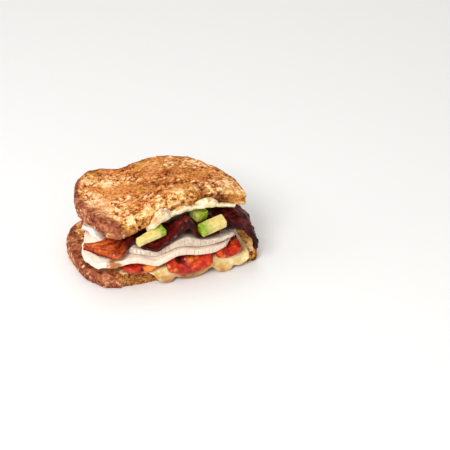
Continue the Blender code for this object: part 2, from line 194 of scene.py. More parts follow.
def rim_angles(square, bulge, half, rounds):
    """Angles that cut the rim's profile into equal lengths, read off its summed length."""
    a = np.linspace(0, math.pi, PROFILE_STEPS)
    out = bulge * np.sin(a) ** square
    rise = half * np.sign(np.cos(a)) * np.abs(np.cos(a)) ** square
    length = np.concatenate([[0], np.cumsum(np.hypot(np.diff(out), np.diff(rise)))])
    return np.interp(np.linspace(0, length[-1], rounds + 2)[1:-1], length, a)


def slab(middle, up, thick, bulge, square=0.8, rounds=8):
    """A closed skin round a grid of middle points.

    Its faces lie half the thickness either side. The rim's profile goes, for an angle a from 0 to
    180 degrees, out by bulge * sin(a) ** square and up by half the thickness * cos(a) ** square.
    """
    rows, columns = middle.shape[:2]
    up = np.broadcast_to(up, middle.shape)
    half = np.broadcast_to(thick, (rows, columns))[..., None] / 2
    loop = border(middle.shape)
    i, j = loop[:, 0], loop[:, 1]
    edge, lift = middle[i, j], up[i, j]
    out = np.cross(np.roll(edge, -1, 0) - np.roll(edge, 1, 0), lift)
    out /= np.linalg.norm(out, axis=1, keepdims=True)
    bulge = np.broadcast_to(bulge, len(loop)).astype(float)
    square = np.broadcast_to(square, len(loop)).astype(float)
    angles = np.zeros((rounds, len(loop)))
    for kind in np.unique(square):
        same = square == kind
        angles[:, same] = rim_angles(kind, bulge[same].mean(), half[i, j].mean(), rounds)[:, None]
    outward_by = bulge * np.sin(angles) ** square
    level = np.sign(np.cos(angles)) * np.abs(np.cos(angles)) ** square
    rings = edge + out * outward_by[..., None] + lift * half[i, j] * level[..., None]
    number = np.arange(rows * columns).reshape(rows, columns)
    points = np.vstack([(middle + up * half).reshape(-1, 3), (middle - up * half).reshape(-1, 3),
                        rings.reshape(-1, 3)])
    cells = [number[:-1, :-1], number[1:, :-1], number[1:, 1:], number[:-1, 1:]]
    faces = [np.stack(cells, -1).reshape(-1, 4), np.stack(cells[::-1], -1).reshape(-1, 4) + number.size]
    first = 2 * number.size + np.arange(rounds)[:, None] * len(loop) + np.arange(len(loop))
    bands = np.vstack([number[i, j][None], first, number[i, j][None] + number.size])
    high, low = bands[:-1], bands[1:]
    faces.append(np.stack([high, low, np.roll(low, -1, 1), np.roll(high, -1, 1)], -1).reshape(-1, 4))
    where = np.concatenate([number.ravel(), number.ravel(), np.tile(number[i, j], rounds)])
    flat = np.ones(number.size)
    return Slab(points, np.vstack(faces), where, np.concatenate([flat, -flat, level.ravel()]))


def outward(points, faces):
    """Unit normals: at each point, the sum of the cross products of its faces' diagonals."""
    a, b, c, d = (points[faces[:, k]] for k in range(4))
    across = np.cross(c - a, d - b)
    total = np.zeros_like(points)
    for k in range(4):
        np.add.at(total, faces[:, k], across)
    return total / np.maximum(np.linalg.norm(total, axis=1, keepdims=True), 1e-12)


def carved(shape, relief):
    """The slab with each point moved along its normal by relief, in millimetres."""
    return shape._replace(points=shape.points + outward(shape.points, shape.faces) * relief[:, None])


# %% [markdown]
# ## Noise that can be repeated
# Pores, fibres and browning come from two kinds of noise, both made from whole numbers so that
# they are the same each run. Value noise gives soft patches. Cell noise gives the distance to the
# nearest of many scattered points, and that makes pores. Both lattices are turned, so that none of
# their planes lies along a slice.

# %% Noise
AXIS_FACTORS = (374761393, 668265263, 2147483647)
SEED_FACTOR, SCRAMBLE_FACTOR = 974711, 1274126177
MASK = 0xFFFFFFFF  # keeps 32 bits
TURN = np.linalg.qr(np.random.default_rng(5).normal(size=(3, 3)))[0]


def lattice(corner, seed):
    """A number from -1 to 1 for each whole-number corner, by multiplying and shifting its bits."""
    h = sum(corner[..., k] * factor for k, factor in enumerate(AXIS_FACTORS))
    h = (h + seed * SEED_FACTOR) & MASK
    h = ((h ^ (h >> 13)) * SCRAMBLE_FACTOR) & MASK
    h = h ^ (h >> 16)
    return h / 2**31 - 1.0


def noise(points, size, seed):
    """Value noise from -1 to 1: lattice numbers blended by S-curves, on a lattice of that size."""
    at = points @ TURN / size
    cell = np.floor(at).astype(np.int64)
    t = smooth(0.0, 1.0, at - cell)
    total = np.zeros(len(points))
    for corner in np.ndindex(2, 2, 2):
        weight = np.prod(np.where(np.array(corner), t, 1 - t), axis=1)
        total += weight * lattice(cell + np.array(corner), seed)
    return total


def layered(points, size, seed, layers=3):
    """Value noise at a size, half that size at 0.6 of the strength, and so on."""
    strengths = 0.6 ** np.arange(layers)
    parts = [s * noise(points, size / 2**k, seed + k) for k, s in enumerate(strengths)]
    return sum(parts) / strengths.sum() * 1.5


def ridges(points, size, seed):
    """Fine threads: 1 along the lines where value noise passes through 0, falling to 0 away."""
    return np.clip(1 - 4.0 * np.abs(noise(points, size, seed)), 0, 1)


def cells(points, size, seed):
    """The distance to the nearest scattered point, in units of size, and that point's number."""
    at = points @ TURN / size
    base = np.floor(at).astype(np.int64)
    nearest, number = np.full(len(points), np.inf), np.zeros(len(points))
    for step in np.ndindex(3, 3, 3):
        cell = base + np.array(step) - 1
        jitter = np.stack([lattice(cell, seed + k) for k in range(3)], -1)
        far = np.linalg.norm(at - cell - 0.5 - 0.45 * jitter, axis=1)
        closer = far < nearest
        nearest[closer], number[closer] = far[closer], lattice(cell[closer], seed + 7)
    return nearest, number


def pores(points, size, seed, share, radius=0.42):
    """Round hollows from 0 to 1: in the given share of the cells, a dip round the cell's point."""
    far, number = cells(points, size, seed)
    own = radius * (0.6 + 0.4 * np.abs(np.sin(number * 40.0)))
    return smooth(own, own * 0.45, far) * (number < 2 * share - 1)


# %% [markdown]
# ## From arrays to a mesh
# A mesh takes whole arrays through `foreach_set`. What the material needs to know about a point,
# such as how deep in a pore it lies, goes in as named attributes beside its position. Relief that
# would go below the underside is pressed flat.

# %% Meshes
def piece(name, shape, finish, slot, nodes, **marks):
    """Makes the mesh of a piece, with its attributes, and lets it stand for its nodes."""
    shape.points[:, 2] = np.maximum(shape.points[:, 2], 0.0)
    mesh = bpy.data.meshes.new(name)
    mesh.vertices.add(len(shape.points))
    mesh.loops.add(shape.faces.size)
    mesh.polygons.add(len(shape.faces))
    mesh.vertices.foreach_set("co", ((shape.points - FOOT_CENTRE) * MM).astype(np.float32).ravel())
    mesh.loops.foreach_set("vertex_index", shape.faces.astype(np.int32).ravel())
    mesh.polygons.foreach_set("loop_start", np.arange(0, shape.faces.size, 4, dtype=np.int32))
    mesh.update(calc_edges=True)
    for mark, value in marks.items():
        filed = mesh.attributes.new(mark, "FLOAT", "POINT")
        filed.data.foreach_set("value", np.asarray(value, np.float32))
    mesh.shade_smooth()
    mesh.materials.append(finish)
    made = put(name, mesh)
    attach(made, "root")
    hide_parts(*nodes)
    low, high = shape.points.min(0), shape.points.max(0)
    print(f"{name}: {2 * len(shape.faces)} triangles,", (high - low).round(1), "mm")


# %% [markdown]
# ## Materials
# A `Finish` is a material in the making. Its one function `add` makes any kind of node with its
# settings and links, and its other steps are what several recipes below share. Patterns are sized
# in millimetres: a noise texture's scale is how many of its features fit in a metre.

# %% Adding nodes
MIX_BY, MIX_FROM, MIX_TO, MIX_RESULT = 0, 6, 7, 2  # the colour sockets of a Mix node


def per_metre(size_mm):
    """The scale of a noise texture whose features have that size."""
    return 1.0 / (size_mm * MM)


class Finish:
    """A named material: its Principled shader, and the Object coordinates its patterns read."""

    def __init__(self, name, roughness, **sheen):
        self.material = bpy.data.materials.new(name)
        self.material.use_nodes = True
        self.tree = self.material.node_tree
        self.shader = self.tree.nodes["Principled BSDF"]
        self.shader.inputs["Roughness"].default_value = roughness
        for socket, value in sheen.items():
            self.shader.inputs[socket.replace("_", " ")].default_value = value
        self.where = self.add("TexCoord", output="Object")

    def add(self, kind, inputs=(), output=0, **settings):
        """One output of a new shader node. Settings are the node's own. Inputs go to its sockets in
        order, or by name or number, and each is a value, another node's output, a hex colour or the
        name of a point attribute."""
        made = self.tree.nodes.new("ShaderNode" + kind)
        for name, value in settings.items():
            setattr(made, name, value)
        for socket, value in inputs.items() if isinstance(inputs, dict) else enumerate(inputs):
            if isinstance(value, str) and value.startswith("#"):
                value = paint(value)
            elif isinstance(value, str):
                value = self.add("Attribute", output="Fac", attribute_name=value)
            if isinstance(value, bpy.types.NodeSocket):
                self.tree.links.new(value, made.inputs[socket])
            else:
                made.inputs[socket].default_value = value
        return made.outputs[output]

    def threads(self, size_mm, width):
        """Thin lines where a noise passes through its middle: 1 on the line, 0 at the width away."""
        sockets = {"Vector": self.where, "Scale": per_metre(size_mm), "Detail": 2.0, "Distortion": 1.2}
        off = self.add("Math", (self.add("TexNoise", sockets), 0.5), operation="SUBTRACT")
        off = self.add("Math", (off,), operation="ABSOLUTE")
        return self.add("MapRange", {"Value": off, "From Min": width, "From Max": 0.2 * width})

    def colours(self, value, *stops):
        """The colour for a value, from (value, colour) stops in order. A ramp's own places end at
        1, so the value and the stops are divided by the last stop's."""
        top = stops[-1][0]
        share = self.add("Math", (value, 1 / top), operation="MULTIPLY")
        made = self.add("ValToRGB", (share,))
        bar = made.node.color_ramp.elements
        bar[0].position, bar[0].color = stops[0][0] / top, paint(stops[0][1])
        bar[1].color = paint(stops[-1][1])
        for at, colour in stops[1:-1]:
            bar.new(at / top).color = paint(colour)
        return made

    def laid(self, colour, *layers):
        """A colour with others laid over it in turn, each given as how much of it shows and what it
        is."""
        for amount, shade in layers:
            sockets = {MIX_BY: amount, MIX_FROM: colour, MIX_TO: shade}
            colour = self.add("Mix", sockets, MIX_RESULT, data_type="RGBA")
        return colour

    def done(self, colour, height=None, strength=0.0, depth_mm=0.0):
        """The material, with its shader's colour, and bumps from a height up to that depth."""
        self.tree.links.new(colour, self.shader.inputs["Base Color"])
        if height is not None:
            sockets = {"Height": height, "Strength": strength, "Distance": depth_mm * MM}
            self.tree.links.new(self.add("Bump", sockets), self.shader.inputs["Normal"])
        return self.material


# %% [markdown]
# ### Toasted multigrain bread
# Bread is a foam of starch. Its toasted face is golden brown on the ridges that touched the grill,
# its crust is smooth and red brown, and a cut shows the pale crumb with its pores. The pores and
# pits are carved, and painted dark as well: that dark is painted shade in the hollows. Three
# attributes, `toast`, `crust` and one for the painted pore shade, say which of these a point is.
# Two more, `tone` and `busy`, say how browned it is and how much that changes from grain to grain.

# %% Bread
BROWNING = (0.35, 0.62, 0.88, 1.14, 1.45)  # tones from burnt to pale; the colours below are at these
BREAD_COLOURS = (
    "#6A2406 #A04814 #C87434 #E39E5E #FCDAB0",  # toasted face
    "#6A340A #A66018 #C88C38 #E2AC60 #FCE4B4",  # its yellower patches
    "#6E340A #A4601F #CC9244 #E9BC76 #FEE4B4",  # crumb
    "#4A1C14 #7A3A28 #9C583C #BE7C54 #E8B48C",  # crust
)


def bread_finish():
    """A ramp for each kind of surface, read by how browned a point is, under pale threads that are
    painted highlights on the crumb's ridges, brown specks, and pits painted dark as shade. It is matt."""
    bread = Finish("toasted_multigrain_bread", 0.75, Specular_IOR_Level=0.04)
    add, where = bread.add, bread.where
    grain = add("TexNoise", {"Vector": where, "Scale": per_metre(2.5), "Detail": 3.0, "Roughness": 0.62})
    uneven = add("Math", (add("Math", (grain, 0.5), operation="SUBTRACT"), "busy"), operation="MULTIPLY")
    tone = add("Math", (uneven, 3.2, "tone"), operation="MULTIPLY_ADD")
    ramps = [bread.colours(tone, *zip(BROWNING, row.split())) for row in BREAD_COLOURS]
    toasted, yellower, crumb, crusted = ramps
    patches = add("TexNoise", {"Vector": where, "Scale": per_metre(9.0), "Detail": 3.0})
    yellow = add("MapRange", {"Value": patches, "From Min": 0.48, "From Max": 0.64, "To Max": 0.75})
    # Pale threads, kept off the crust, are painted highlights where the crumb's ridges would catch the
    # light.
    lines = add("Math", (bread.threads(8.0, 0.034), bread.threads(5.0, 0.03)), operation="MAXIMUM")
    faint = add("Math", (lines, 0.4), operation="MULTIPLY")
    pale = add("Math", (faint, add("Math", (1.0, "crust"), operation="SUBTRACT")), operation="MULTIPLY")
    dots = add("TexNoise", {"Vector": where, "Scale": per_metre(3.6), "Detail": 2.0})
    speck = add("MapRange", {"Value": dots, "From Min": 0.70, "From Max": 0.80, "To Max": 0.7})
    toasted = bread.laid(toasted, (yellow, yellower))
    # The last layer darkens the pores and pits: painted shade in the hollows.
    colour = bread.laid(crumb, ("toast", toasted), ("crust", crusted), (pale, "#F8BC7E"),
                        (speck, "#7C4022"), ("pit", "#46200F"))
    height = add("Math", (pale, 0.3, grain), operation="MULTIPLY_ADD")
    return bread.done(colour, height, 0.6, 0.45)


def oat_finish():
    """Rolled oats: pale and matt, and tan where the grain is darker."""
    oats = Finish("rolled_oats", 0.7, Specular_IOR_Level=0.2)
    grain = oats.add("TexNoise", {"Vector": oats.where, "Scale": per_metre(1.6), "Detail": 3.0})
    return oats.done(oats.colours(grain, (0.35, "#A8683E"), (0.65, "#E4BE92")))


TOASTED_BREAD, OATS = bread_finish(), oat_finish()
print("materials:", TOASTED_BREAD.name, "and", OATS.name)

# %% [markdown]
# ### The shape of the slices
# Both slices are slabs whose two faces are given. The lower one is flat below and pressed together
# along the cut. The upper slice is thinner at its near left corner, where it was pressed, and it is
# domed over the bacon. Its toasted face rolls over into the cut, so its height is lowered there by
# a quarter round.

# %% The layers and the outlines of both slices
CLEARANCE = 0.3  # between layers
LOWER_BREAD, CHEESE, TOMATO, TURKEY = 10.6, 2.3, 4.6, 4.7
BACON, UPPER_MELT, UPPER_BREAD = 2.4, 2.4, 11.4
PINCH = 2.0  # how much thinner the lower slice is along the cut
CORNER = 1.2  # the radius of its edge there
CRUST_BULGE, CRUST_SQUARE = 2.2, 0.62  # how far the rim bulges, and its profile's power
CUT_BULGE, CUT_SQUARE = 0.5, 0.35
CUT_REACH = 1.6  # how far the crags bring the upper slice's cut forward
LOWER_FRONT = ((-46, 1.2), (-14, 1.0), (18, 1.0), (50, 1.4))
LOWER_LEFT = ((-46, 1.2), (-57, 6), (-65, 20), (-68, 38), (-67.5, 54), (-62, 69))
LOWER_BACK = ((-62, 69), (-52, 77), (-39, 79), (-24, 76), (0, 77.5), (24, 75.5), (41, 69.5))
LOWER_RIGHT = ((50, 1.4), (54, 16), (54.5, 38), (50, 56), (41, 69.5))
UPPER_FRONT = ((-45, 0), (-28, 1.5), (-11, 5.5), (10, 7.0), (44, 8))
UPPER_LEFT = ((-45, 0), (-53, 6), (-59.5, 19), (-62, 37), (-60.5, 54), (-54.5, 68))
UPPER_BACK = ((-54.5, 68), (-47, 74), (-37, 75.5), (-25, 71), (-12, 75), (6, 77.5), (24, 71))
UPPER_RIGHT = ((44, 8), (44, 26), (38, 48), (24, 71))
ROOF_FRONT = ((-60, 48), (-45, 49.5), (-28, 54.5), (-11, 60), (8, 62.5), (24, 61), (48, 54))
ROOF_BACK = ((-60, 51), (-30, 50.5), (0, 51.5), (24, 50.5), (48, 47))
HELD_UP = 3.2  # the flap of turkey holds the slice up near its left end
CUT_ROUND = 6.0  # how far behind the cut the toasted face starts to roll over
CUT_DROP = 0.7  # how much of that it drops by


def lower_face(x, y):
    """The upper face of the lower slice, pressed together along the cut."""
    return LOWER_BREAD - PINCH * (1 - smooth(1, 26, y)) * smooth(-48, -26, x)


def held(x, y):
    """Where the flap of turkey holds the slice up: 1 over the flap, 0 away from it."""
    return bell(y, 17, 13) * smooth(-44, -57, x)


def roof(x, y):
    """The toasted face: a profile along the cut blended into another along the back."""
    back = np.clip(y / 76, 0, 1) ** 1.2
    dome = height_along(ROOF_FRONT, x) * (1 - back) + height_along(ROOF_BACK, x) * back
    return dome + HELD_UP * held(x, y)


def ceiling(x, y):
    """The underside of the upper slice, raised where it is pressed thinner."""
    pressed = 1.2 * bell(x, -44, 18) * (1 - smooth(0, 16, y)) + 1.4 * held(x, y)
    return roof(x, y) - UPPER_BREAD + pressed


CRAG_SIZES = (5.5, 7.5, 10.0, 14.0, 19.0)
CRAG_DEPTH = 1 / 6  # of each of their waves


def crags(points, seed):
    """A sum of waves in seeded directions, for the unevenness of the whole slice."""
    draw = np.random.default_rng(seed)
    height = np.zeros(len(points))
    for size in CRAG_SIZES:
        way = draw.normal(size=3)
        way *= 2 * math.pi / size / np.linalg.norm(way)
        height += np.sin(points @ way + draw.uniform(0, 2 * math.pi))
    return CRAG_DEPTH * height


# %% [markdown]
# ### Crust, pores and browning
# What a point looks like depends on where it lies. The crust goes round the wall as far as a corner
# of the cut and turns a little way over the toasted face. Three kinds of pores are carved along
# the normals: big ones in the crumb, where the knife opened them, deep ones in the toasted face
# too, and small ones everywhere, but shallower in the crust. Browning adds patches and blotches,
# one scorched area, a golden left end, a dark rim, a dark place on the front edge near the right
# end, partly charred crust and partly painted shade as from the other half, and, beside it, a paler
# strip where the melt has soaked in. A bump map could stand for the pores, but the cut edge shows
# them in outline, so they are real. The oats on the crust are small rounded slabs.

# %% Where a point of a slice lies
Toast = namedtuple("Toast", "node front seed rough_top toasted tone cut_tone crust_to "
                            "over over_at over_width")
SLICES = {  # crust reaches along the cut to crust_to, and by over on top, furthest about over_at
    "lower_toast": Toast("bread_lower", LOWER_FRONT, 4, 0.0, 0.25, 0.04, -0.55, -45, 13, 32, 34),
    "upper_toast": Toast("bread_upper", UPPER_FRONT, 9, 0.8, 1.0, 0.02, -0.05, -40, 8, 13, 18),
}
Place = namedtuple("Place", "x y behind_cut wander up_face cut_side crust rim")


def places(kind, plan, shape, on_wall):
    """Where each point lies: how far behind the cut, and how much it is of the upper face, the
    cut's side, the crust and the toasted face's rim. A slow noise, wander, frays the borders."""
    x, y, level = shape.points[:, 0], shape.points[:, 1], shape.level
    wander = layered(shape.points, 5.0, kind.seed + 1)
    behind_cut = y - height_along(kind.front, x)
    up_face = ~on_wall & (level > 0)
    corner = smooth(kind.crust_to - 3, kind.crust_to + 2, x + 1.5 * wander + 4 * level)
    cut_side = smooth(3.2, 1.6, behind_cut) * on_wall * corner
    rows, columns = plan.shape[:2]
    i, j = shape.where // columns, shape.where % columns
    wide, deep = np.ptp(plan[..., 0]) / (rows - 1), np.ptp(plan[..., 1]) / (columns - 1)
    reach = kind.over * (0.35 + bell(y, kind.over_at, kind.over_width)) * smooth(-1, 6, behind_cut)
    turned = smooth(reach + 3.0, reach - 3.0, i * wide + 2.6 * wander) * up_face
    crust = np.maximum(on_wall * (1 - cut_side), turned)
    from_rim = np.minimum(np.minimum(i, rows - 1 - i) * wide, (columns - 1 - j) * deep)
    rim = smooth(5.0, 0.0, from_rim + 2 * wander) * up_face
    return Place(x, y, behind_cut, wander, up_face, cut_side, crust, rim)


# %% Browning, pores and oats
def browning(kind, points, at, threads):
    """Each point's tone, from darkest to palest, how much it changes from grain to grain, the blotches
    in it, and a dark place near the right end of the cut, partly charred and partly painted shade."""
    seed = kind.seed
    busy = 0.45 + 0.75 * smooth(-0.4, 0.4, layered(points, 13.0, seed + 18, 2))
    busy *= (1 - 0.5 * at.crust) * (1 - 0.35 * at.cut_side)
    blotch = layered(points * [0.75, 1.2, 1.0], 3.5, seed + 17) * busy
    scorch = bell(at.x, 4, 24) * bell(at.y, 38, 20) * (0.7 + 0.7 * layered(points, 8.0, seed + 19))
    golden = np.maximum(smooth(-30, -52, at.x), smooth(15, 6, at.behind_cut))
    soaked = smooth(-16, -2, at.x) * smooth(16, 8, at.behind_cut)
    # A dark place near the right end of the cut edge: partly charred crust, partly painted shade as from
    # the other half beside it.
    burnt_and_shaded = bell(at.x + 0.8 * at.behind_cut, 23, 10) * smooth(13, 6, at.behind_cut + 3 * at.wander)
    burnt_and_shaded *= smooth(-0.7, -0.1, layered(points, 6.0, seed + 20)) * kind.toasted
    tone = 0.87 + kind.tone + 0.3 * layered(points, 16.0, seed + 16)
    # The threads also lighten the tone along them: painted highlight on the ridges.
    tone += (0.52 - 0.1 * at.crust) * blotch + (0.2 * threads - 0.05) * (1 - at.crust)
    tone += (0.09 * golden - 0.38 * scorch + 0.14 * soaked) * at.up_face - 0.16 * at.rim
    tone += kind.cut_tone * at.cut_side - 0.4 * burnt_and_shaded - 0.05 * at.crust
    return tone, busy, blotch, burnt_and_shaded


def slice_of_bread(name, plan, top, under):
    """A slice between two faces: crags, then pores by where a point lies, then its attributes."""
    kind, seed = SLICES[name], SLICES[name].seed
    middle = np.dstack([plan, (top + under) / 2])
    cut = border(plan.shape)[:, 1] == 0
    bulge, square = np.where(cut, CUT_BULGE, CRUST_BULGE), np.where(cut, CUT_SQUARE, CRUST_SQUARE)
    shape = slab(middle, (0.0, 0.0, 1.0), top - under, bulge, square, rounds=24)
    points = shape.points
    rough = crags(points, seed)
    points[: top.size, 2] += rough[: top.size] * kind.rough_top
    on_wall = np.arange(len(points)) >= 2 * top.size
    away = points[on_wall, :2] - plan.mean(axis=(0, 1))
    away /= np.linalg.norm(away, axis=1, keepdims=True)
    points[on_wall, :2] += away * rough[on_wall, None]
    at = places(kind, plan, shape, on_wall)
    crumbly = 1 - at.crust
    rolled = smooth(0.5, CUT_ROUND + 2.0, at.behind_cut + 1.6 * at.wander)
    below = 0.35 * smooth(0.0, 1.0, shape.level + 0.35 * at.wander)
    toast = np.where(at.up_face, rolled, below) * kind.toasted
    big = pores(points, 3.6, seed + 11, 0.34) * crumbly * (1 - toast) * (1 - 0.9 * at.crust)
    deep = pores(points, 6.0, seed + 12, 0.45, 0.25) * crumbly
    small = pores(points, 2.2, seed + 13, 0.25) * (1 - 0.7 * at.crust)
    threads = np.maximum(ridges(points, 3.6, seed + 14), 0.8 * ridges(points, 2.2, seed + 15))
    tone, busy, blotch, burnt_and_shaded = browning(kind, points, at, threads)
    relief = (0.8 * threads - 0.2) * crumbly - 1.1 * big - 1.0 * deep - 0.6 * small
    relief += 0.25 * at.wander + 0.35 * blotch * (1 - 0.6 * at.crust)
    # Pores and pits are painted dark as well as carved: painted shade in the hollows.
    pit = np.clip(0.55 * big + deep + 0.05 * small, 0, 1) * (1 - 0.6 * at.crust)
    shape = carved(shape, relief)
    # The dark place near the right end also takes the crust colour: partly crust, partly painted shade.
    piece(name, shape, TOASTED_BREAD, "bread", [kind.node], tone=tone, toast=toast, busy=busy, pit=pit,
          crust=np.maximum(at.crust, 0.8 * burnt_and_shaded))
    outer = (at.crust > 0.9) & (np.abs(shape.level) < 0.97) & on_wall & (at.x < 40)
    flakes(name.replace("toast", "oats"), shape, np.flatnonzero(outer), seed)


FLAKES, FLAKE_THICK, FLAKE_BULGE, FLAKE_OUT = 55, 0.45, 0.2, 0.08
FLAKE_HALF_LENGTHS, FLAKE_HALF_WIDTHS = (0.9, 1.5), (0.45, 0.8)


def flakes(name, shape, candidates, seed):
    """Flakes of oat pressed into a crust: rounded slabs that lie along it, joined in one piece."""
    draw = np.random.default_rng(seed)
    normal = outward(shape.points, shape.faces)
    u, v = grid(np.linspace(-1, 1, 5), np.linspace(-1, 1, 5))
    u, v = (u * np.sqrt(1 - v**2 / 2))[..., None], (v * np.sqrt(1 - u**2 / 2))[..., None]
    bodies = []
    for k in draw.choice(candidates, FLAKES, replace=False):
        along = np.cross(normal[k], draw.normal(size=3))
        along /= np.linalg.norm(along)
        across = np.cross(normal[k], along)
        long, wide = draw.uniform(*FLAKE_HALF_LENGTHS), draw.uniform(*FLAKE_HALF_WIDTHS)
        middle = shape.points[k] + FLAKE_OUT * normal[k] + long * u * along + wide * v * across
        bodies.append(slab(middle, normal[k], FLAKE_THICK, FLAKE_BULGE, rounds=2))
    first = np.cumsum([0] + [len(body.points) for body in bodies[:-1]])
    joined = np.vstack([body.points for body in bodies])
    faces = np.vstack([body.faces + start for body, start in zip(bodies, first)])
    piece(name, Slab(joined, faces, None, None), OATS, "bread", [])


def both_slices():
    """The lower slice, flat below, and the upper one, with its edge rolled over into the cut."""
    u, v = grid(np.linspace(0, 1, 215), np.linspace(0, 1, 145) ** 1.1)
    plan = filled(LOWER_FRONT, LOWER_BACK, LOWER_LEFT, LOWER_RIGHT, u, v)
    top = lower_face(plan[..., 0], plan[..., 1])
    slice_of_bread("lower_toast", plan, top, 0 * top)
    plan = filled(UPPER_FRONT, UPPER_BACK, UPPER_LEFT, UPPER_RIGHT, u, v)
    x, y = plan[..., 0], plan[..., 1]
    off_cut = np.clip(1 - (y - height_along(UPPER_FRONT, x)) / CUT_ROUND, 0, 1)
    top = roof(x, y) - CUT_DROP * CUT_ROUND * (1 - np.sqrt(1 - off_cut**2))
    slice_of_bread("upper_toast", plan, top, ceiling(x, y))


both_slices()

# %% [markdown]
# ## Melted cheese
# Two cheeses melted here. The lower one, yellower, lies on the lower slice, bends over its cut edge
# and hangs down in drips whose toes spread at the foot. The white one wells up under the upper
# slice. Melted cheese is smooth, waxy and translucent, so most of its look is subsurface light and
# a soft gloss, with slow colour changes from cream to yellow and a few browned spots. A fluid could
# be simulated, but a sheet laid round the edge by a formula puts each drip where it should hang.

# %% Cheese
# drips and lumps: where along the cut, half the width, and the length
DRIPS = ((-15.0, 8.0, 6.4), (2.5, 15.5, 6.2), (26.6, 8.6, 6.6), (37, 7.0, 4.4))
LUMPS = ((-17.5, 8.0, 9.0), (-2.0, 8.0, 3.2), (16.5, 9.0, 5.0))
DRIP_TOE = 2.0  # how far the toe of a long drip comes forward
CHEESE_LEFT, CHEESE_RIGHT, CHEESE_BACK = -38.0, 44.5, 68.0
CHEESE_FLAT = 4.0  # how far behind the cut its flat part starts
CHEESE_SHORT = 3.0  # and its edge, at the left end, where it doesn't hang
MELT_LEFT, MELT_RIGHT, MELT_DEPTH = -26.5, 37.0, 60.0
LUMP_SWELL = 0.9  # how much thicker the melt is on a lump, as a share
MELT_TURN = math.radians(80)  # how far round the cut edge it turns before it climbs


def cheese_finish(name, browned, *stops):
    """Waxy and translucent: a ramp over slow noise, mixed with a browned colour in spots."""
    cheese = Finish(name, 0.36, Subsurface_Weight=0.25, Subsurface_Scale=0.003, Coat_Weight=0.5,
                    Coat_Roughness=0.14, IOR=1.45)
    curd, slow = (
        cheese.add("TexNoise", {"Vector": cheese.where, "Scale": per_metre(size), "Detail": detail})
        for size, detail in ((1.8, 4.0), (9.0, 3.0)))
    tone = cheese.add("Math", (curd, 0.35, slow), operation="MULTIPLY_ADD")
    colour = cheese.laid(cheese.colours(tone, *stops), ("brown", browned))
    return cheese.done(colour, curd, 0.35, 0.25)


GOLDEN_CHEESE = cheese_finish("golden_melted_cheese", "#985422", (0.45, "#C48E3C"), (0.56, "#D6AC60"),
                              (0.68, "#E8CA86"), (0.82, "#FAE6B6"))
WHITE_CHEESE = cheese_finish("white_melted_cheese", "#D0A05C", (0.45, "#E4C286"), (0.62, "#F4E0B4"),
                             (0.85, "#FDF2D8"))


def over_edge(x, run, gap):
    """Points that keep a gap off the lower slice, and the directions away from it.

    Where run is positive it is the way back over the upper face. Where it is negative it goes
    round the cut edge, an arc of the corner's radius plus the gap, and then straight down.
    """
    radius = CORNER + gap
    angle = np.clip(-run / radius, 0, math.pi / 2)
    drop = np.clip(-run - radius * math.pi / 2, 0, None)
    y = CORNER + np.clip(run, 0, None) - radius * np.sin(angle)
    z = lower_face(x, np.maximum(y, 0)) - CORNER + radius * np.cos(angle) - drop
    return np.stack([x, y, z], -1), np.stack([0 * x, -np.sin(angle), np.cos(angle)], -1)


def lobe(x, at, width, length):
    """How far a drip or a lump reaches at x: nearly a parabola of that half width and length."""
    return (length - 1.0) * np.clip(1 - ((x - at) / width) ** 2, 0, 1) ** 0.8


def golden_cheese():
    """The lower cheese: how far it hangs is a soft maximum of the drips' bumps."""
    u, v = grid(np.linspace(0, 1, 300), runs((-1, 0, 46), (0, 0.1, 12), (0.1, 1, 38)))
    x = CHEESE_LEFT + (CHEESE_RIGHT - CHEESE_LEFT) * u
    hang = 1.0 + sum(lobe(x, *drip) ** 5 for drip in DRIPS) ** 0.2
    gap = CLEARANCE + CHEESE / 2
    bend = (CORNER + gap) * math.pi / 2
    back = CHEESE_BACK - 10 * bell(x, CHEESE_RIGHT, 14) - 6 * bell(x, CHEESE_LEFT, 12)
    reach = smooth(-35, -20, x)
    edge = CHEESE_SHORT * (1 - reach) - (bend + hang) * reach
    run = CHEESE_FLAT + np.where(v > 0, v * (back - CHEESE_FLAT), v * (CHEESE_FLAT - edge))
    middle, up = over_edge(x, run, gap)
    toe = smooth(-0.7, -1, v) * reach
    middle[..., 1] -= (DRIP_TOE * smooth(3, 6.5, hang) + 0.2 * CHEESE) * toe
    shape = slab(middle, up, CHEESE * (1 + 0.4 * toe - 0.3 * (1 - reach)), 0.9, rounds=10)
    points, z = shape.points, shape.points[:, 2]
    relief = 0.35 * layered(points, 8.0, 21, 2) + 0.05 * layered(points, 2.6, 25)
    # The brown attribute holds scattered spots, and it also rises towards the foot of the cheese, most
    # round x = -4, so the cheese is darker towards the bottom.
    brown = 0.4 * smooth(0.5, 0.95, layered(points, 6.0, 31)) + 0.15 * (z < 2.5)
    brown += 0.5 * bell(points[:, 0], -4, 18) * smooth(7, 2, z)
    brown += 0.3 * smooth(7, 1, z + layered(points, 6.0, 33))
    piece("golden_cheese", carved(shape, relief * smooth(0.2, 1.5, z)), GOLDEN_CHEESE, "cheese",
          ["cheese_lower"], brown=np.clip(brown, 0, 1))


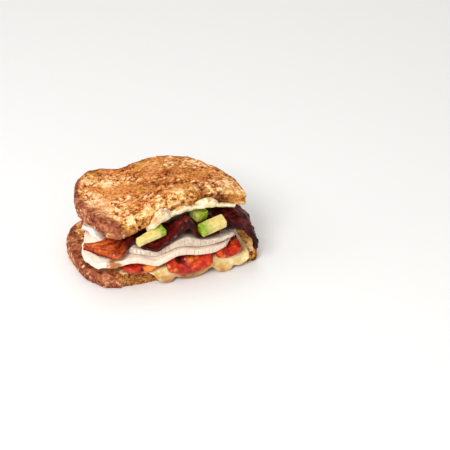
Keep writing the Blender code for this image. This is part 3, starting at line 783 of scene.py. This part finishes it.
def white_cheese():
    """The upper cheese: it follows the ceiling, turns round the cut edge and climbs in lumps."""
    depths = runs((-2, -1, 22), (-1, 0, 16), (0, 0.15, 18), (0.15, 1, 40))
    u, v = grid(np.linspace(0, 1, 230), depths)
    x = MELT_LEFT + (MELT_RIGHT - MELT_LEFT) * u
    radius = CORNER + CLEARANCE + UPPER_MELT / 2
    angle = np.clip(-v, 0, 1) * MELT_TURN
    lump = sum(lobe(x, *lump) for lump in LUMPS)
    up_cut = np.clip(-v - 1, 0, 1) * (1.0 + lump)
    back = np.clip(v, 0, None) * (MELT_DEPTH - 8 * bell(x, 40, 20))
    edge = height_along(UPPER_FRONT, x) - CUT_REACH + CORNER
    y = edge + back - radius * np.sin(angle) - up_cut * math.cos(MELT_TURN)
    z = ceiling(x, edge + back) + CORNER - radius * np.cos(angle) + up_cut * math.sin(MELT_TURN)
    up = np.stack([0 * x, np.sin(angle), np.cos(angle)], -1)
    thick = UPPER_MELT * (1 + LUMP_SWELL * smooth(0, 6, lump) * smooth(0.3, 1, -v))
    middle = np.stack([x, y, z], -1) - up * [0, 1, 0] * (thick - UPPER_MELT)[..., None] / 2
    shape = slab(middle, up, thick, 0.9, rounds=8)
    points = shape.points
    climbing = smooth(-1.5, -2.0, v).ravel()[shape.where]
    relief = 0.6 * layered(points, 5.0, 41, 2) + 0.05 * layered(points, 2.4, 45)
    relief -= 1.2 * climbing * smooth(-0.3, 0.5, layered(points, 5.0, 47, 2))
    brown = 0.5 * smooth(0.4, 0.9, layered(points, 5.0, 51))
    brown = np.maximum(brown, climbing * smooth(-0.3, 0.5, layered(points, 3.0, 53)))
    piece("white_cheese", carved(shape, relief), WHITE_CHEESE, "melt", ["melt_upper"], brown=brown)


golden_cheese()
white_cheese()

# %% [markdown]
# ## Roasted tomato
# A slice of tomato has an outer wall, ribs of the same firm flesh running in to the middle, and
# pockets of soft gel between them. Roasting sinks the pockets, chars them here and there and leaves
# everything wet. Angle and radius in the slice say which is which.

# %% Tomato
TOMATOES = {  # the middle in x and in run, then half the width and half the depth
    "tomato_front_left": (-31.5, 18.0, 12.5, 22.5),
    "tomato_front_middle": (1.6, 14.5, 16.2, 24.8),
    "tomato_front_right": (30.4, 14.2, 8.6, 20.1),
    "tomato_rear_left": (-40.5, 56.5, 15.0, 11.5),
    "tomato_rear_middle": (-4.5, 56.5, 17.0, 11.5),
    "tomato_rear_right": (29.5, 50.0, 12.5, 12.0),
}
RISE_FROM, RISE = 20.0, 0.1
RIPE_AT = {  # orange flesh at the cut: x, z and radius
    "tomato_front_left": ((-27.0, 15.0, 5.0),),
    "tomato_front_middle": ((-11.6, 12.1, 3.4), (4.7, 13.6, 5.0)),
    "tomato_front_right": ((25.0, 13.0, 2.2),),
}
HOLLOW_AT = {  # and dark hollows left by the gel
    "tomato_front_left": ((-32.5, 14.5, 1.5),),
    "tomato_front_middle": ((-5.7, 15.6, 2.6),),
}


def tomato_finish():
    """Wet flesh: red gel and lighter walls, with orange and charred places, under a clear coat."""
    flesh = Finish("roasted_tomato", 0.4, Subsurface_Weight=0.15, Subsurface_Scale=0.002,
                   Specular_IOR_Level=0.2, Coat_Weight=0.45, Coat_Roughness=0.1)
    pulp = flesh.add("TexNoise", {"Vector": flesh.where, "Scale": per_metre(4.5), "Detail": 3.0})
    gel = flesh.colours(pulp, (0.32, "#840C03"), (0.5, "#AE1604"), (0.7, "#D8360A"))
    wall = flesh.colours(
        pulp, (0.3, "#AA1804"), (0.48, "#C42A05"), (0.6, "#D44608"), (0.76, "#EA8020"))
    colour = flesh.laid(gel, ("wall", wall), ("ripe", "#F6A23E"), ("char", "#2A0C06"))
    return flesh.done(colour, pulp, 0.5, 0.5)


ROASTED_TOMATO = tomato_finish()


def climb(x):
    """How much higher the fillings lie towards the right end."""
    return RISE * np.clip(x - RISE_FROM, 0, None)


def spots(points, places):
    """1 at the places given as (x, z, radius), falling to 0 round them; ragged at their edges."""
    ragged = 1 + 0.35 * layered(points, 2.6, 57)
    far = [np.hypot(points[:, 0] - x, 1.3 * (points[:, 2] - z)) / r * ragged for x, z, r in places]
    return np.max([smooth(1.2, 0.5, f) for f in far] + [0 * points[:, 0]], axis=0)


def tomato(k, node, centre, middle_run, half_width, half_depth):
    """A slice that lies on the cheese and droops over the cut; its plan is a rounded square."""
    u, v = grid(np.linspace(-1, 1, 90), runs((-1, -0.5, 40), (-0.5, 1, 50)))
    x = centre + half_width * u * (0.6 + 0.4 * np.sqrt(1 - v**2 / 2))
    run = middle_run + half_depth * v * (0.6 + 0.4 * np.sqrt(1 - u**2 / 2))
    middle, up = over_edge(x, run, 2 * CLEARANCE + CHEESE + TOMATO / 2)
    middle[..., 2] += climb(x)
    shape = slab(middle, up, TOMATO, 1.6, rounds=12)
    points = shape.points
    around, radius = np.arctan2(v, u).ravel()[shape.where], np.hypot(u, v).ravel()[shape.where]
    wobble = 0.5 * noise(points, 6.0, 60 + k)
    ribs = smooth(0.25, 0.55, np.abs(np.sin(2.5 * around + k + wobble)))
    pocket = ribs * smooth(0.2, 0.38, radius) * smooth(0.92, 0.8, radius + 0.05 * wobble)
    pocket = pocket * (np.abs(shape.level) > 0.95)
    ripe, hollow = spots(points, RIPE_AT.get(node, ())), spots(points, HOLLOW_AT.get(node, ()))
    relief = 0.35 * layered(points, 2.6, 70 + k) - 0.9 * pocket - 0.6 * hollow
    relief += 0.25 * pocket * ridges(points, 2.0, 75)
    char = np.maximum(smooth(0.25, 0.8, layered(points, 6.0, 80 + k)) * pocket, 0.9 * hollow)
    juicy = np.maximum(smooth(-0.35, 0.35, layered(points, 7.0, 85 + k)), ripe)
    piece("roasted_" + node, carved(shape, relief), ROASTED_TOMATO, "tomato", [node],
          wall=np.maximum(0.85 * (1 - pocket) * juicy, ripe), char=char,
          ripe=0.85 * ripe * smooth(-0.3, 0.4, layered(points, 3.5, 89 + k)))


for k, (node, measures) in enumerate(TOMATOES.items()):
    tomato(k, node, *measures)

# %% [markdown]
# ## Turkey breast
# Sliced breast is dense and pale, with grain. Where the knife went through it, the fibres part in
# short cracks across the slice, two or three millimetres apart. They are carved, and painted darker
# as shade in them. A patch of browned skin is left at the near left corner, and the meat is torn
# round the left end and frayed at the right, with painted shade between the frayed threads.

# %% Turkey
TURKEY_FRONT = ((-52, -1), (-38, -3), (-20, -4.5), (0, -4.5), (15, -4), (28, -1))
TURKEY_LEFT = ((-52, -1), (-61, 8), (-65, 24), (-60, 38), (-53, 52), (-48, 65))
TURKEY_BACK = ((-48, 65), (-26, 70), (2, 71), (32, 66))
TURKEY_RIGHT = ((28, -1), (37, 13), (40.5, 38), (32, 66))
TURKEY_LIFT = (  # how far its cut edge waves up at each x
    (-60, -1), (-54, -0.8), (-47, 0.5), (-41, 2.0), (-35, 2.6), (-28, 1.0), (-21, 0.2),
    (-14, 1.8), (-7, 3.6), (0, 3.2), (7, 1.4), (14, 0.5), (24, -0.2), (30, -0.2))
DIP_AT, DIP = -22.0, 1.5  # a dip in the cut edge at that x
FOLD_FRONT = ((-36, 0), (-20, -1.8), (4, -2.4), (34, 0.0))
FOLD_LEFT = ((-36, 0), (-48, 12), (-60, 22), (-62, 34), (-56, 50), (-46, 64))
FOLD_BACK = ((-46, 64), (-22, 69), (4, 70), (31, 65))
FOLD_RIGHT = ((34, 0.0), (40, 14), (41.5, 38), (31, 65))
OVERHANG = 4.2  # how far the lower slice's left end hangs down
FLAP, FLAP_AT, FLAP_WIDTH = 10.0, 25.0, 11.0  # the upper slice's left end folds up, about that y
FLAP_THIN, THIN_END = 1.6, 1.8  # how much thinner the flap is, and both slices at their right ends
BACK_RISE = 5.0  # how far the upper slice rises at the back
CREST, CREST_AT, CREST_WIDTH = 2.8, 0.5, 9.0  # and it is thicker under the bacon's arch
CRACK_SPACING = 2.8
SKIN_SIZE = (4.6, 5.0, 3.6)  # half the patch of skin, each way
FRAY = (1.0, 1.0, 0.6)  # frayed threads are longer in z


def turkey_finish(name, *stops):
    """Moist white meat: fine grain in its colour, browned skin, cracks painted darker as shade in
    them, a soft gloss.
    """
    meat = Finish(name, 0.5, Subsurface_Weight=0.15, Subsurface_Scale=0.003, Coat_Weight=0.12,
                  Coat_Roughness=0.35)
    grain, slow = (
        meat.add("TexNoise", {"Vector": meat.where, "Scale": per_metre(size), "Detail": detail})
        for size, detail in ((1.7, 5.0), (11.0, 2.0)))
    tone = meat.add("Math", (slow, 0.8, grain), operation="MULTIPLY_ADD")
    # The pale attribute lifts the tone at the left end, over the flap: painted light against the shade
    # of the bread above.
    tone = meat.add("Math", (tone, "pale"), operation="ADD")
    colour = meat.laid(meat.colours(tone, *stops), ("skin", "#B06C2A"), ("crack", "#7A6050"))
    return meat.done(colour, grain, 0.25, 0.2)


WHITE_TURKEY = turkey_finish(
    "white_turkey_breast", (0.5, "#DEC5AE"), (0.85, "#ECD6C1"), (1.2, "#F6E4D2"))
# The upper slice's meat: the white meat's colours made darker, as painted shade where it lies under the
# bacon.
GREY_SHADED_TURKEY = turkey_finish(
    "grey_shaded_turkey_breast", (0.5, "#B89E88"), (0.85, "#D6C0AA"), (1.1, "#EADACA"), (1.4, "#FCF2E6"))


def turkey_height(x, y):
    """The middle of the lower slice: on the tomatoes, and wavy along the cut."""
    level = lower_face(x, y) + 4 * CLEARANCE + CHEESE + TOMATO + TURKEY / 2 + climb(x)
    lift = height_along(TURKEY_LIFT, x) * (1 - smooth(0, 34, y))
    return level + lift - DIP * bell(x, DIP_AT, 5) * smooth(0, -4.5, y)


def fold_height(x, y):
    """The middle of the upper slice: on the lower one, with a flap and a raised back."""
    flap = FLAP * bell(y, FLAP_AT, FLAP_WIDTH) * smooth(-47, -60, x)
    back = BACK_RISE * smooth(52, 68, y) * (0.7 + 0.3 * np.sin(x / 6))
    return turkey_height(x, y) + TURKEY + 2 * CLEARANCE + flap + back


def thinned(x, y):
    """How much thinner a slice is near the right end of the cut."""
    return THIN_END * smooth(17, 31, x) * (1 - smooth(3, 14, y))


def cracks(along, level, seed):
    """Cracks across a cut edge: 1 on lines about a spacing apart, each with its own reach."""
    at = along / CRACK_SPACING
    cell = np.floor(at)
    line = np.stack([cell, 0 * cell, 0 * cell], -1).astype(np.int64)
    place = 0.5 + 0.25 * lattice(line, seed) + 0.05 * lattice(line, seed + 1) * level
    reach = 0.8 + 0.4 * lattice(line, seed + 2)
    width = 0.05 + 0.035 * lattice(line, seed + 3)
    inside = smooth(reach + 0.3, reach - 0.1, np.abs(level - 0.6 * lattice(line, seed + 4)))
    return smooth(width, width * 0.3, np.abs(at - cell - place)) * inside


def turkey(name, node, plan, height, thick, material, seed, skin_at, crack_from):
    """A slice with cracks in its rim and skin round a given point, torn and frayed at its ends."""
    shape = slab(np.dstack([plan, height]), (0.0, 0.0, 1.0), thick, 1.2, square=0.6, rounds=16)
    points, x, y = shape.points, shape.points[:, 0], shape.points[:, 1]
    side = 1 - smooth(0.9, 1.0, np.abs(shape.level))
    cracked = np.maximum(smooth(crack_from - 8, crack_from + 8, x), smooth(20, 40, y))
    # The crack colour painted over these grooves is painted shade in them.
    crack = cracks(x, shape.level, seed) * side * cracked
    torn = smooth(-50, -58, x) * smooth(46, 30, y)
    frayed, threads = smooth(26, 34, x) * smooth(8, 2, y), layered(points * FRAY, 2.8, seed + 13)
    relief = 0.3 * layered(points, 7.0, seed + 5) + 0.04 * layered(points, 1.8, seed + 8)
    relief += 0.9 * torn * layered(points, 3.6, seed + 15) + frayed * (1.2 * threads - 0.3)
    relief -= 0.4 * crack
    near = np.linalg.norm((points - np.array(skin_at)) / SKIN_SIZE, axis=1)
    skin = smooth(1.25, 0.6, near + 0.45 * layered(points, 2.5, seed + 9))
    skin = np.maximum(skin, 0.4 * torn * smooth(0.1, 0.9, layered(points, 4.5, seed + 16)))
    # The crack colour is laid between the frayed threads as well: painted shade in the gaps.
    crack = np.maximum(crack, frayed * smooth(0.1, -0.7, threads))
    # pale: painted light at the left end and its flap, against the shade of the bread above.
    piece(name, carved(shape, relief), material, "turkey", [node], crack=0.75 * crack, skin=skin,
          pale=0.5 * smooth(-44, -52, x) * smooth(44, 30, y))


def turkey_slices():
    """The lower slice, which hangs over the left end, and the upper one, folded up there."""
    u, v = grid(np.linspace(0, 1, 330), runs((0, 0.07, 12), (0.07, 0.4, 34), (0.4, 1, 30)))
    plan = filled(TURKEY_FRONT, TURKEY_BACK, TURKEY_LEFT, TURKEY_RIGHT, u, v)
    x, y = plan[..., 0], plan[..., 1]
    overhang = OVERHANG * smooth(-53, -65, x) * (1 - smooth(30, 44, y))
    turkey("turkey_slice_lower", "turkey_lower", plan, turkey_height(x, y) - overhang,
           TURKEY - thinned(x, y), WHITE_TURKEY, 90, (-52.0, -2.0, 20.8), -8)
    plan = filled(FOLD_FRONT, FOLD_BACK, FOLD_LEFT, FOLD_RIGHT, u, v)
    x, y = plan[..., 0], plan[..., 1]
    crest = CREST * bell(x, CREST_AT, CREST_WIDTH) * (1 - smooth(2, 14, y))
    thick = TURKEY + crest - FLAP_THIN * smooth(-52, -60, x) - thinned(x, y)
    # Its material is the darker copy of the white meat: painted shade under the bacon.
    turkey("turkey_slice_upper", "turkey_upper", plan, fold_height(x, y) + crest / 2,
           thick, GREY_SHADED_TURKEY, 110, (-50.0, 9.0, 27.0), -45)


turkey_slices()

# %% [markdown]
# ## Fried bacon
# Bacon is a strip with bands of meat and fat along its length. Frying shrinks them differently, so
# the strip ripples and its edges crinkle. The meat goes dark maroon, fat goes amber, and the surface
# is glazed with its own fat. The bands follow the strip, so the material reads how far across and
# along the strip a point lies, and not where it is in space. Towards the right end the strips are
# painted darker, as painted shade, and they are darker along their edge at the cut.

# %% Bacon
BACON_FRONT = (
    (-67, 15, 28.6), (-58, 5, 27.6), (-49, -4, 28.2), (-42, 0, 31.0), (-36, 3, 34),
    (-29, -2, 31.2), (-22, -4, 29.4), (-15, -4.5, 32.2), (-9, -4.5, 36), (-4, -4, 39.8),
    (0.5, -3.5, 41.4), (4, -3, 39.5), (7.6, -3, 33.4), (12, -2, 31), (24, 0, 31))
BACON_BACK = (
    (-66, 17, 29.6), (-59, 12.5, 31.6), (-51, 12, 34), (-43, 16, 34), (-36, 19, 33.5),
    (-29, 20, 32.5), (-22, 20, 32), (-15, 19, 32), (-9, 18, 32.2), (-4, 18, 32.6),
    (0.5, 18, 32.6), (4, 18, 32.6), (7.6, 18, 32.2), (12, 18, 32), (24, 18, 32))
END_FRONT = (
    (27, 2, 31.5), (33, 1, 33), (38.5, -2, 32), (44, -3.5, 28), (48.5, -4, 22), (50.5, -3.5, 15.5))
END_BACK = ((27, 22, 33), (33, 24, 35), (39, 24, 36), (46, 23, 33), (51, 21, 26), (53, 19, 18))
BACON_CURL = 1.4  # how far the edge at the cut curls down
BAND_LENGTH, BANDS = 14, 7  # how long a streak is, in millimetres, and how many lie side by side
ARCH_AT, ARCH_WIDTH, ARCH_CROWN = 0.0, 7.5, 5.6  # the front strip doubles up into an arch there
CRISP_UNTIL = -45  # and is crisp and amber to the left of that
REAR_BACON = {"bacon_middle": (27, 46, 0.0), "bacon_rear": (49, 67, 2.0)}  # from y, to y, phase
REAR_LOW, REAR_HIGH = 3.0, 2.6  # how far their middles stay off the turkey and off the melt


def bacon_finish():
    """Glazed strips: bands from noise stretched along the strip, meat to fat, darkened as painted shade
    towards the right end, under a clear coat.
    """
    rasher = Finish("fried_bacon", 0.5, Subsurface_Weight=0.1, Subsurface_Scale=0.0015,
                    Specular_IOR_Level=0.05, Coat_Weight=0.25, Coat_Roughness=0.1)
    strip = rasher.add("CombineXYZ", ("along", "across"))
    bands = rasher.add("TexNoise", {"Vector": strip, "Scale": 1.0, "Detail": 4.0, "Roughness": 0.6})
    grain = rasher.add("TexNoise", {"Vector": rasher.where, "Scale": per_metre(2.0), "Detail": 5.0})
    tone = rasher.add("Math", (grain, 0.45, bands), operation="MULTIPLY_ADD")
    # Darker towards the right end, which is painted shade, and along the strip's edge at the cut.
    tone = rasher.add("Math", (tone, "lean"), operation="SUBTRACT")
    dark = rasher.colours(
        tone, (0.5, "#280506"), (0.68, "#520E0C"), (0.86, "#842216"), (1.05, "#BC5E44"))
    crisp = rasher.colours(
        tone, (0.5, "#5A1408"), (0.66, "#963210"), (0.82, "#C45E22"), (1.0, "#EC9C54"))
    return rasher.done(rasher.laid(dark, ("crisp", crisp)), tone, 0.6, 0.5)


FRIED_BACON = bacon_finish()


def bacon(node, front, back, columns, ripple, seed, length, steps, crisp_until=-999, crown=0.0):
    """A strip ruled between its edges, with waves across its middle and a curl at the cut."""
    u, v = grid(np.linspace(0, 1, steps), runs((0, 0.3, 22), (0.3, 1, 26)))
    near, far = through(front, u), through(back, u)
    middle = near + (far - near) * v[..., None]
    middle[..., 2] += ripple * np.sin(v * math.pi) * np.sin(u * columns * 0.7)
    middle[..., 2] += crown * bell(middle[..., 0], ARCH_AT, ARCH_WIDTH) * np.sin(math.pi * v**0.6)
    middle[..., 2] -= BACON_CURL * np.clip(1 - v / 0.3, 0, 1) ** 2
    edge, far_along = np.exp(-v * 9), u * length
    middle[..., 2] += edge * 0.35 * np.sin(far_along / 3.4 + 1.5 * np.sin(far_along / 9))
    middle[..., 1] += edge * 0.5 * np.sin(far_along / 4.3 + seed)
    upward = np.cross(np.gradient(middle, axis=0), np.gradient(middle, axis=1))
    upward /= np.linalg.norm(upward, axis=-1, keepdims=True)
    shape = slab(middle, upward, BACON, 0.7, rounds=8)
    points, x = shape.points, shape.points[:, 0]
    along = (far_along / BAND_LENGTH).ravel()[shape.where] + seed
    across = (v * BANDS).ravel()[shape.where]
    strip = np.stack([along * 1.2, across, shape.level], -1)
    right_end = smooth(24, 34, x)
    ruffle = np.sin(along * 8 + 4 * noise(points, 11, seed + 9)) * shape.level
    relief = 0.35 * layered(strip, 1.0, seed) + 0.2 * layered(points, 2.6, seed + 3)
    relief += 1.1 * right_end * layered(points, 6.5, seed + 6) + (0.35 + 0.2 * right_end) * ruffle
    crisp = smooth(crisp_until + 6, crisp_until - 6, x + 4 * noise(points, 8, seed))
    # The strip is painted darker towards the right end, as shade, and along its edge at the cut.
    piece(node.replace("bacon", "bacon_strip"), carved(shape, relief), FRIED_BACON, "bacon", [node],
          along=along, across=across, crisp=crisp,
          lean=0.1 * smooth(26, 36, x) + 0.14 * smooth(0.9, 0.0, across))


def bacon_strips():
    """Two strips along the cut, and two that wave between turkey and melt behind them."""
    bacon("bacon_front", BACON_FRONT, BACON_BACK, 38, 0.3, 131, 125, 420, CRISP_UNTIL, ARCH_CROWN)
    bacon("bacon_right", END_FRONT, END_BACK, 16, 0.3, 141, 40, 150)
    for node, (near, far, phase) in REAR_BACON.items():
        x = np.linspace(-50, 38, 15)
        wave = 0.5 + 0.42 * np.sin(x / 5.6 + phase)
        edges = []
        for y in (np.full_like(x, near), np.full_like(x, far)):
            base = fold_height(x, y) + TURKEY / 2 + REAR_LOW
            room = ceiling(x, y) - UPPER_MELT - REAR_HIGH - base
            edges.append(np.stack([x, y, base + room * wave], -1))
        bacon(node, *edges, 22, 0.0, 151 + near, 95, 240)


bacon_strips()

# %% [markdown]
# ## Avocado
# Ripe avocado cuts like cold butter: flat faces, soft edges, pale yellow inside and bright green in
# the few millimetres under the skin. Each chunk says at which end its skin side was.

# %% Avocado
CHUNK_EDGE = 1.2  # the radius of a chunk's soft edges
Chunk = namedtuple("Chunk", "centre length width thick taper turn tilt rise pale_end green_end")
AVOCADOS = {  # angles in degrees; the ends of the green are shares of half the length
    "avocado_left": Chunk((-25.0, -2.6, 38.2), 22.0, 8.2, 5.4, 0.6, 22, 18, 9, 0.3, 0.85),
    "avocado_right": Chunk((18.5, -1.8, 37.4), 19.5, 8.4, 6.4, 0.0, 10, 16, 8, 0.15, -0.95),
    "avocado_back": Chunk((12.8, 9.4, 41.6), 9.5, 9.5, 7.0, 0.0, 20, 8, 0, -2.6, 0.4),
}


def avocado_finish():
    """Buttery flesh: yellow to green by an attribute, faint grain, a soft gloss."""
    flesh = Finish("ripe_avocado", 0.4, Subsurface_Weight=0.2, Subsurface_Scale=0.003,
                   Coat_Weight=0.15, Coat_Roughness=0.3)
    grain = flesh.add("TexNoise", {"Vector": flesh.where, "Scale": per_metre(2.5), "Detail": 4.0})
    pale = flesh.colours(grain, (0.3, "#D6BE64"), (0.5, "#E4CF80"), (0.75, "#F0E0A0"))
    green = flesh.colours(grain, (0.35, "#6A9208"), (0.5, "#90AE18"), (0.68, "#B6CA34"))
    return flesh.done(flesh.laid(pale, ("green", green)), grain, 0.2, 0.2)


RIPE_AVOCADO = avocado_finish()


def avocado(node, chunk):
    """A chunk: a slab turned in plan, tilted to the front and raised to the right."""
    u, v = grid(np.linspace(-1, 1, 80), np.linspace(-1, 1, 44))
    turn, tilt, rise = (math.radians(angle) for angle in (chunk.turn, chunk.tilt, chunk.rise))
    level = np.array((math.cos(turn), math.sin(turn), 0.0))
    sideways = np.array((-math.sin(turn), math.cos(turn), 0.0))
    overhead = np.array((0.0, 0.0, 1.0))
    along = level * math.cos(rise) + overhead * math.sin(rise)
    deep = sideways * math.cos(tilt) + overhead * math.sin(tilt)
    up = np.cross(along, deep)
    up /= np.linalg.norm(up)
    half_length, half_width = chunk.length / 2 - CHUNK_EDGE, chunk.width / 2 - CHUNK_EDGE
    narrow = half_width * chunk.taper * (1 - u)
    middle = np.array(chunk.centre) + along * (half_length * u)[..., None]
    middle = middle + deep * (half_width * v + 0.5 * narrow * (1 - v))[..., None]
    shape = slab(middle, up, chunk.thick, CHUNK_EDGE, square=0.6, rounds=18)
    points = shape.points
    local = (points - np.array(chunk.centre)) @ along / (chunk.length / 2)
    green = smooth(chunk.pale_end, chunk.green_end, local + 0.1 * layered(points, 4.0, 171))
    relief = 0.25 * layered(points, 5.0, 175) + 0.06 * layered(points, 1.6, 178)
    piece(node.replace("avocado", "avocado_chunk"), carved(shape, relief), RIPE_AVOCADO, "avocado",
          [node], green=green)


for node, chunk in AVOCADOS.items():
    avocado(node, chunk)

# %% [markdown]
# ## Floor and light
# A pale floor under plain studio light: a large soft key from the left front, a weaker fill from
# further round on the left, a low light at the front that reaches in between the layers, a rim from
# behind and a pale surround, so that the cut is bright and the shadow beside it stays soft.

# %% Floor
FLOOR_HALF, FLOOR_HEIGHT = 3.0, -0.0002  # metres


def floor():
    """A wide pale plane just under the bread."""
    half, z = FLOOR_HALF, FLOOR_HEIGHT
    mesh = bpy.data.meshes.new("floor")
    corners = [(-half, -half, z), (half, -half, z), (half, half, z), (-half, half, z)]
    mesh.from_pydata(corners, [], [(0, 1, 2, 3)])
    pale = Finish("pale_floor", 0.55)
    pale.shader.inputs["Base Color"].default_value = paint("#F4F5F5")
    mesh.materials.append(pale.material)
    plane = put("floor", mesh)


floor()

# %% Light
LIGHTS = (  # name, azimuth and elevation in degrees, distance and side in metres, watts
    ("key", -42.0, 43.0, 1.2, 0.5, 9.2),
    ("fill", -105.0, 18.0, 1.3, 1.0, 3.0),
    ("front", -12.0, 10.0, 1.3, 0.6, 1.6),
    ("rim", 160.0, 60.0, 1.3, 0.8, 2.4),
)
SURROUND, SURROUND_STRENGTH = "#FAF7F2", 0.6


def light(name, azimuth, elevation, distance, side, watts):
    """A square area light on a sphere round the sandwich, facing it."""
    lamp = bpy.data.lights.new(name, "AREA")
    lamp.size, lamp.energy = side, watts
    axes = looking_in(azimuth, elevation)
    put(name, lamp, axes, axes[2] * distance)


def surround():
    """A pale world, and plain tones in the picture."""
    world = bpy.data.worlds.new("studio")
    world.use_nodes = True
    background = world.node_tree.nodes["Background"]
    background.inputs["Color"].default_value = paint(SURROUND)
    background.inputs["Strength"].default_value = SURROUND_STRENGTH
    bpy.context.scene.world = world
    bpy.context.scene.view_settings.view_transform = "Standard"


for row in LIGHTS:
    light(*row)
surround()
print("lights:", *(row[0] for row in LIGHTS))
